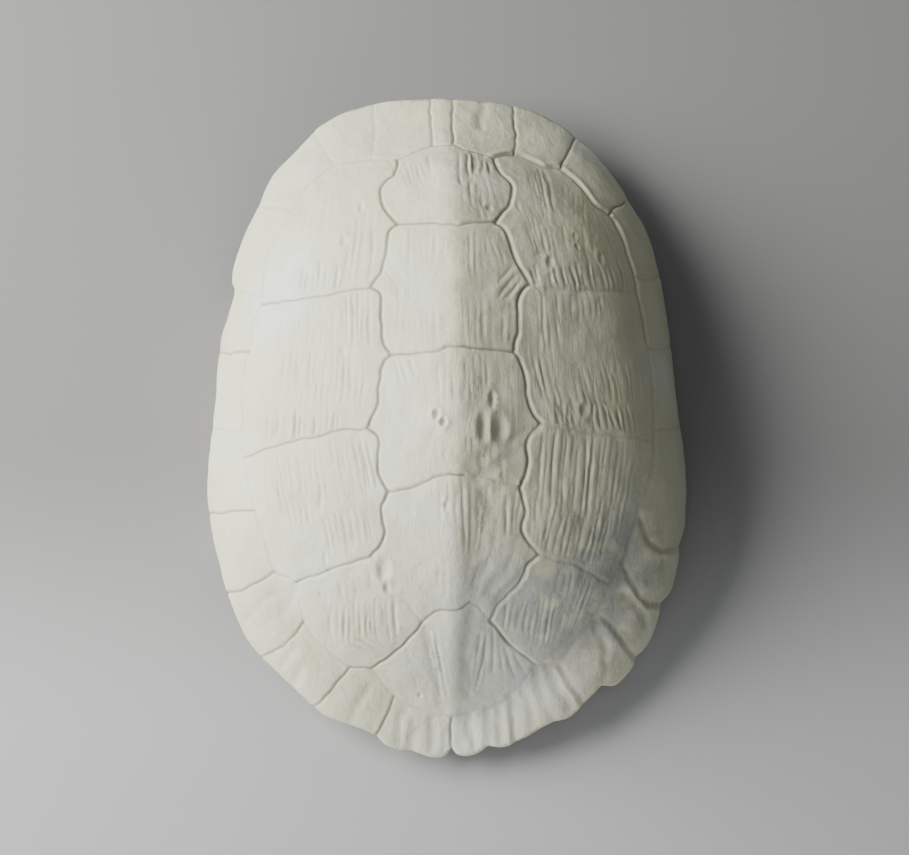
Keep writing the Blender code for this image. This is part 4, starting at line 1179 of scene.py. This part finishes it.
# %% Two effects that the materials share
def shader_group(title, inputs, outputs):
    """An empty group with these sockets, its given values and its result node."""
    group = bpy.data.node_groups.new(title, "ShaderNodeTree")
    for name, (kind, value) in inputs.items():
        made = group.interface.new_socket(name, in_out="INPUT", socket_type="NodeSocket" + kind)
        if value is not None:
            made.default_value = value
    for name, kind in outputs.items():
        group.interface.new_socket(name, in_out="OUTPUT", socket_type="NodeSocket" + kind)
    return group, group.nodes.new("NodeGroupInput").outputs, group.nodes.new("NodeGroupOutput").inputs


# Which sockets of a Mix node hold the factor, its two colours and the mixed colour
MIX_FACTOR, MIX_A, MIX_B, MIX_RESULT = 0, 6, 7, 2


def mixed(tree, share, first, second):
    """A colour between two, by a share."""
    inputs = {MIX_FACTOR: share, MIX_A: first, MIX_B: second}
    return add(tree, "ShaderNodeMix", inputs, data_type="RGBA").outputs[MIX_RESULT]


def band(tree, value, low, high):
    """0 below low, 1 above high, and smooth between."""
    ends = {"Value": value, "From Min": low, "From Max": high}
    return add(tree, "ShaderNodeMapRange", ends, interpolation_type="SMOOTHSTEP").outputs[0]


def noise(tree, place, scale, detail, roughness=0.5):
    """The value of a noise with this scale, detail and roughness."""
    ends = {"Vector": place, "Scale": scale, "Detail": detail, "Roughness": roughness}
    return add(tree, "ShaderNodeTexNoise", ends).outputs[0]


PATCH_BAND, SPECK_BAND = (0.38, 0.72), (0.45, 0.75)
PATCH_STRENGTH, SPECK_STRENGTH = 0.6, 0.35


def chalk_mottle():
    """Soft patches of a duller colour over a pale one, with fine specks."""
    colours = {"Pale": ("Color", (0.8, 0.8, 0.8, 1)), "Dull": ("Color", (0.6, 0.6, 0.6, 1))}
    sizes = {"Place": ("Vector", None), "Patches": ("Float", 60.0), "Specks": ("Float", 900.0)}
    group, given, result = shader_group("chalk_mottle", {**colours, **sizes}, {"Color": "Color"})
    patches = band(group, noise(group, given["Place"], given["Patches"], 4.0, 0.6), *PATCH_BAND)
    specks = band(group, noise(group, given["Place"], given["Specks"], 2.0), *SPECK_BAND)
    patch_share = maths(group, "MULTIPLY", patches, PATCH_STRENGTH)
    share = maths(group, "ADD", patch_share, maths(group, "MULTIPLY", specks, SPECK_STRENGTH))
    group.links.new(mixed(group, share, given["Pale"], given["Dull"]), result["Color"])
    return group


PORE_BAND, PORE_DEPTH = (0.0, 0.3), 0.5
UNEVEN_ROUGHNESS = 0.3


def chalk_grain():
    """Fine grain with small pores, as a normal and a roughness."""
    inputs = {"Place": ("Vector", None), "Grain": ("Float", 1400.0), "Height": ("Float", 0.0001)}
    inputs["Roughness"] = ("Float", 0.75)
    group, given, result = shader_group("chalk_grain", inputs, {"Normal": "Vector", "Roughness": "Float"})
    grain = noise(group, given["Place"], given["Grain"], 4.0, 0.65)
    pores = add(group, "ShaderNodeTexVoronoi", {"Vector": given["Place"], "Scale": given["Grain"]})
    open_pores = band(group, pores.outputs["Distance"], *PORE_BAND)
    open_pores = maths(group, "MULTIPLY", open_pores, PORE_DEPTH)
    height = maths(group, "ADD", grain, open_pores)
    bump = {"Height": height, "Distance": given["Height"], "Strength": 1.0}
    group.links.new(add(group, "ShaderNodeBump", bump).outputs[0], result["Normal"])
    uneven_share = maths(group, "MULTIPLY", maths(group, "SUBTRACT", grain, 0.5), UNEVEN_ROUGHNESS)
    group.links.new(maths(group, "ADD", given["Roughness"], uneven_share, clamp=True), result["Roughness"])
    return group


MOTTLE, GRAIN = chalk_mottle(), chalk_grain()


def use(tree, group, inputs):
    """The outputs of a shared group with these inputs."""
    return add(tree, "ShaderNodeGroup", inputs, node_tree=group).outputs


def chalky(material, pale, dull, patches, grain, height, roughness):
    """Starts a material from the two shared effects, and returns its tree, shader, place and colour."""
    material.use_nodes = True
    tree = material.node_tree
    shader = tree.nodes["Principled BSDF"]
    place = add(tree, "ShaderNodeTexCoord").outputs["Object"]
    colour = use(tree, MOTTLE, {"Pale": pale, "Dull": dull, "Place": place, "Patches": patches})
    surface = {"Place": place, "Grain": grain, "Height": height, "Roughness": roughness}
    surface = use(tree, GRAIN, surface)
    tree.links.new(surface["Normal"], shader.inputs["Normal"])
    tree.links.new(surface["Roughness"], shader.inputs["Roughness"])
    tree.links.new(colour["Color"], shader.inputs["Base Color"])
    shader.inputs["Specular IOR Level"].default_value = 0.25
    return tree, shader, place, colour["Color"]


print("shared groups:", MOTTLE.name, "and", GRAIN.name)

# %% [markdown]
# ## Bleached horn
#
# The horn is nearly white, a little green and yellow, and quite matt. Grey dust sits in the grooves by the
# stored value, darker than dust alone as painted shade. A faint rust stain spreads at the left of the tail, a
# grey patch at its right is partly stain and partly painted shade, a paler patch left of the middle is a
# painted highlight, and the last plates are cooler and bluer where the horn skin has thinned. These are soft
# patches of colour, so they are masks by place and noise, with no image laid on.

# %% Bleached horn
def near_spot(tree, place, spot, radius):
    """1 at a place on the object, falling softly to 0 at a radius."""
    away = add(tree, "ShaderNodeVectorMath", {0: place, 1: spot}, operation="DISTANCE").outputs["Value"]
    return maths(tree, "SUBTRACT", 1.0, band(tree, away, 0.25 * radius, radius))


PALE_HORN = (0.745, 0.77, 0.58, 1)
DULL_HORN = (0.65, 0.665, 0.51, 1)
# Dust in the grooves, made darker than dust alone as painted shade
DUST_AND_PAINTED_SHADE = (0.13, 0.125, 0.1, 1)
WHITE_HORN = (0.785, 0.81, 0.7, 1)
YELLOW_HORN = (0.715, 0.73, 0.51, 1)
# How much of the tints shows, and the bands of noise in which tints, the stains with the patches of painted
# light, and streaks set in
WHITE_SHARE, YELLOW_SHARE = 0.75, 0.85
WHITE_BAND, YELLOW_BAND = (0.5, 0.68), (0.3, 0.46)
STAIN_AND_LIGHT_BAND, STREAK_BAND = (0.2, 0.62), (0.3, 0.6)
# Scales of the noises: broad tints, blotches that break up stains and dust, and fine streaks
TINT_SCALE, BLOTCH_SCALE, STREAK_SCALE = 26.0, 110.0, 480.0
STREAK_STRETCH, STREAK_HEIGHT = (1.0, 0.12, 1.0), 0.0004
# How much of the dust and painted shade in the grooves shows, and how much it varies in blotches
DUST_AND_SHADE_SHARE, DUST_AND_SHADE_BLOTCH = 0.4, 0.5
# Colour, middle, radius and strength of the soft patches: a cool stain, a rust stain, a grey patch that is
# partly stain and partly painted shade, and a paler one that is a painted highlight
STAINS_AND_PAINTED_LIGHT = (
    ((0.66, 0.68, 0.65, 1), (0.018, -0.1, 0.045), 0.06, 0.85),
    ((0.74, 0.62, 0.47, 1), (-0.078, -0.085, 0.02), 0.035, 0.5),
    # Grey, right of the tail: partly a stain, partly painted shade
    ((0.38, 0.39, 0.385, 1), (0.052, -0.07, 0.042), 0.05, 0.85),
    # Paler, left of the middle: a painted highlight
    ((0.79, 0.82, 0.83, 1), (-0.064, 0.045, 0.045), 0.03, 0.9),
)

horn_look = dict(patches=45.0, grain=1500.0, height=0.00016, roughness=0.72)
tree, shader, place, colour = chalky(horn, PALE_HORN, DULL_HORN, **horn_look)
blotch = noise(tree, place, BLOTCH_SCALE, 3.0)
tint = noise(tree, place, TINT_SCALE, 3.0, 0.6)
white = band(tree, tint, *WHITE_BAND)
colour = mixed(tree, maths(tree, "MULTIPLY", white, WHITE_SHARE), colour, WHITE_HORN)
yellow = maths(tree, "SUBTRACT", 1.0, band(tree, tint, *YELLOW_BAND))
colour = mixed(tree, maths(tree, "MULTIPLY", yellow, YELLOW_SHARE), colour, YELLOW_HORN)
broken = band(tree, blotch, *STAIN_AND_LIGHT_BAND)
# Lays on the stains, the painted shade and the painted highlight
for stain_and_painted_light, middle, radius, strength in STAINS_AND_PAINTED_LIGHT:
    share = maths(tree, "MULTIPLY", near_spot(tree, place, middle, radius), broken)
    colour = mixed(tree, maths(tree, "MULTIPLY", share, strength), colour, stain_and_painted_light)
# Dust in the grooves, with painted shade darkening them further
dust_and_shade = add(tree, "ShaderNodeAttribute", attribute_name="dust_and_shade").outputs["Fac"]
uneven_dust_and_shade = maths(tree, "ADD", DUST_AND_SHADE_SHARE, maths(tree, "MULTIPLY", blotch, DUST_AND_SHADE_BLOTCH))
colour = mixed(tree, maths(tree, "MULTIPLY", dust_and_shade, uneven_dust_and_shade, clamp=True), colour, DUST_AND_PAINTED_SHADE)
tree.links.new(colour, shader.inputs["Base Color"])
stretch = add(tree, "ShaderNodeVectorMath", {0: place, 1: STREAK_STRETCH}, operation="MULTIPLY")
streaks = noise(tree, stretch.outputs["Vector"], STREAK_SCALE, 4.0, 0.65)
streaks = maths(tree, "MULTIPLY", streaks, band(tree, blotch, *STREAK_BAND))
grain_normal = shader.inputs["Normal"].links[0].from_socket
bump = {"Height": streaks, "Distance": STREAK_HEIGHT, "Strength": 1.0, "Normal": grain_normal}
tree.links.new(add(tree, "ShaderNodeBump", bump).outputs[0], shader.inputs["Normal"])
print("bleached horn:", len(tree.nodes), "nodes")

# %% [markdown]
# ## Bare bone
#
# Inside there is no horn. The bone is yellower, rougher and more porous, with browner patches where tissue
# dried on it. The same two groups serve with other colours and a coarser grain.

# %% Bare bone
PALE_BONE, DULL_BONE = (0.70, 0.65, 0.52, 1), (0.50, 0.43, 0.31, 1)

chalky(bone, PALE_BONE, DULL_BONE, patches=70.0, grain=1100.0, height=0.0003, roughness=0.82)
print("bare bone: same groups, coarser grain")

# %% [markdown]
# ## The studio
#
# The shell lies on plain paper whose colour is painted paler towards its tail and darker away from it, as
# painted light. One soft light, the window, stands to the left and a little towards the neck, about sixty
# degrees off the line of sight, so the left half is evenly bright and the right falls away into shade, which
# is what lets the folds there show. A weak light low at the tail stands in for what the paper throws back up.
# A wide dim one beside the eye and the world fill the shadows.

# %% The studio
# The paper's colour away from the tail and near it: the change between them is painted light
FAR_PAPER_PAINTED_DIM, NEAR_PAPER_PAINTED_LIT = (0.284, 0.287, 0.295, 1), (0.498, 0.512, 0.53, 1)
PAINTED_LIGHT_TURN = (-0.13, 0.0)
PAPER_REACH, PAPER_DROP = 3, 0.0002
LIT_SPOT = Vector((0, 0, 0.04))
# Direction in the drawing's axes, distance and size in metres, power in watts, and colour
LIGHTS = {
    "window": ((-0.82, 0.33, 0.47), 0.95, 0.7, 24.5, (1.0, 0.985, 0.925)),
    "paper_glow": ((-0.35, -0.88, 0.3), 0.9, 0.6, 5.5, (1.0, 0.98, 0.95)),
    "room": ((0.1, 0.1, 1.0), 1.8, 1.2, 2.8, (1.0, 1.0, 1.02)),
}
AIR_COLOUR, AIR_STRENGTH = (1.0, 0.995, 1.0, 1), 0.09


def paper_floor():
    """A large flat sheet just under the shell, with painted light that makes it paler towards the tail."""
    turns = ((-1, -1), (1, -1), (1, 1), (-1, 1))
    corners = [(PAPER_REACH * x, PAPER_REACH * y, -PAPER_DROP) for x, y in turns]
    sheet = bpy.data.meshes.new("paper_floor")
    sheet.from_pydata(corners, [], [(0, 1, 2, 3)])
    paper = bpy.data.materials.new("pale_paper")
    paper_look = dict(patches=12.0, grain=900.0, height=0.00004, roughness=0.9)
    tree, shader, place, _ = chalky(paper, FAR_PAPER_PAINTED_DIM, FAR_PAPER_PAINTED_DIM, **paper_look)
    # Painted light: the paper's colour brightens towards the tail
    along = add(tree, "ShaderNodeSeparateXYZ", {0: place}).outputs["Y"]
    painted_light_share = maths(tree, "SUBTRACT", 1.0, band(tree, along, *PAINTED_LIGHT_TURN))
    tree.links.new(mixed(tree, painted_light_share, FAR_PAPER_PAINTED_DIM, NEAR_PAPER_PAINTED_LIT), shader.inputs["Base Color"])
    sheet.materials.append(paper)
    floor = bpy.data.objects.new("paper_floor", sheet)
    bpy.context.scene.collection.objects.link(floor)
    return floor


def soft_light(title, direction, distance, size, power, colour):
    """A square light that shines on the shell's middle from a direction in the drawing's axes."""
    right, up, to_eye = sight_axes()
    way = direction[0] * right + direction[1] * up + direction[2] * to_eye
    way = Vector(way / np.linalg.norm(way))
    data = bpy.data.lights.new(title, "AREA")
    data.shape, data.size, data.energy, data.color = "SQUARE", size, power, colour
    light = bpy.data.objects.new(title, data)
    light.location = LIT_SPOT + distance * way
    light.rotation_euler = way.to_track_quat("Z", "Y").to_euler()
    bpy.context.scene.collection.objects.link(light)


floor = paper_floor()
for title, light in LIGHTS.items():
    soft_light(title, *light)
world = bpy.data.worlds.new("studio_air")
world.use_nodes = True
world.node_tree.nodes["Background"].inputs["Color"].default_value = AIR_COLOUR
world.node_tree.nodes["Background"].inputs["Strength"].default_value = AIR_STRENGTH
bpy.context.scene.world = world
print("studio: a window, a glow from the paper, a dim room and a dim world")

# %% [markdown]
# ## The camera
#
# The camera stands at the eye of the drawing and looks down its line of sight. The picture is 909 by 855,
# and the drawing's centre is not quite the picture's, which a small shift makes up.

# %% The camera
PICTURE = np.array((909.0, 855.0))
SENSOR = 36.0

right, up, to_eye = sight_axes()
eye = (SIGHT_CENTRE + SIGHT_DISTANCE * to_eye - shell_middle) * MM
camera = bpy.data.objects.new("camera", bpy.data.cameras.new("camera"))
camera.data.sensor_width = SENSOR
camera.data.lens = SENSOR * SIGHT_DISTANCE / (PICTURE[0] * DRAWING_UNIT)
camera.data.shift_x, camera.data.shift_y = (PICTURE / 2 - DRAWING_CENTRE) / PICTURE[0]
camera.matrix_world = Matrix.Translation(eye) @ Matrix(np.array((right, up, to_eye)).T.tolist()).to_4x4()
bpy.context.scene.collection.objects.link(camera)
bpy.context.scene.camera = camera
print("camera: lens", round(camera.data.lens, 1), "mm, eye at", [round(float(value), 3) for value in eye])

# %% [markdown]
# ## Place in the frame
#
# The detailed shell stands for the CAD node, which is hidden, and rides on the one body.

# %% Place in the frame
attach(shell, "root")
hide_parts("carapace")
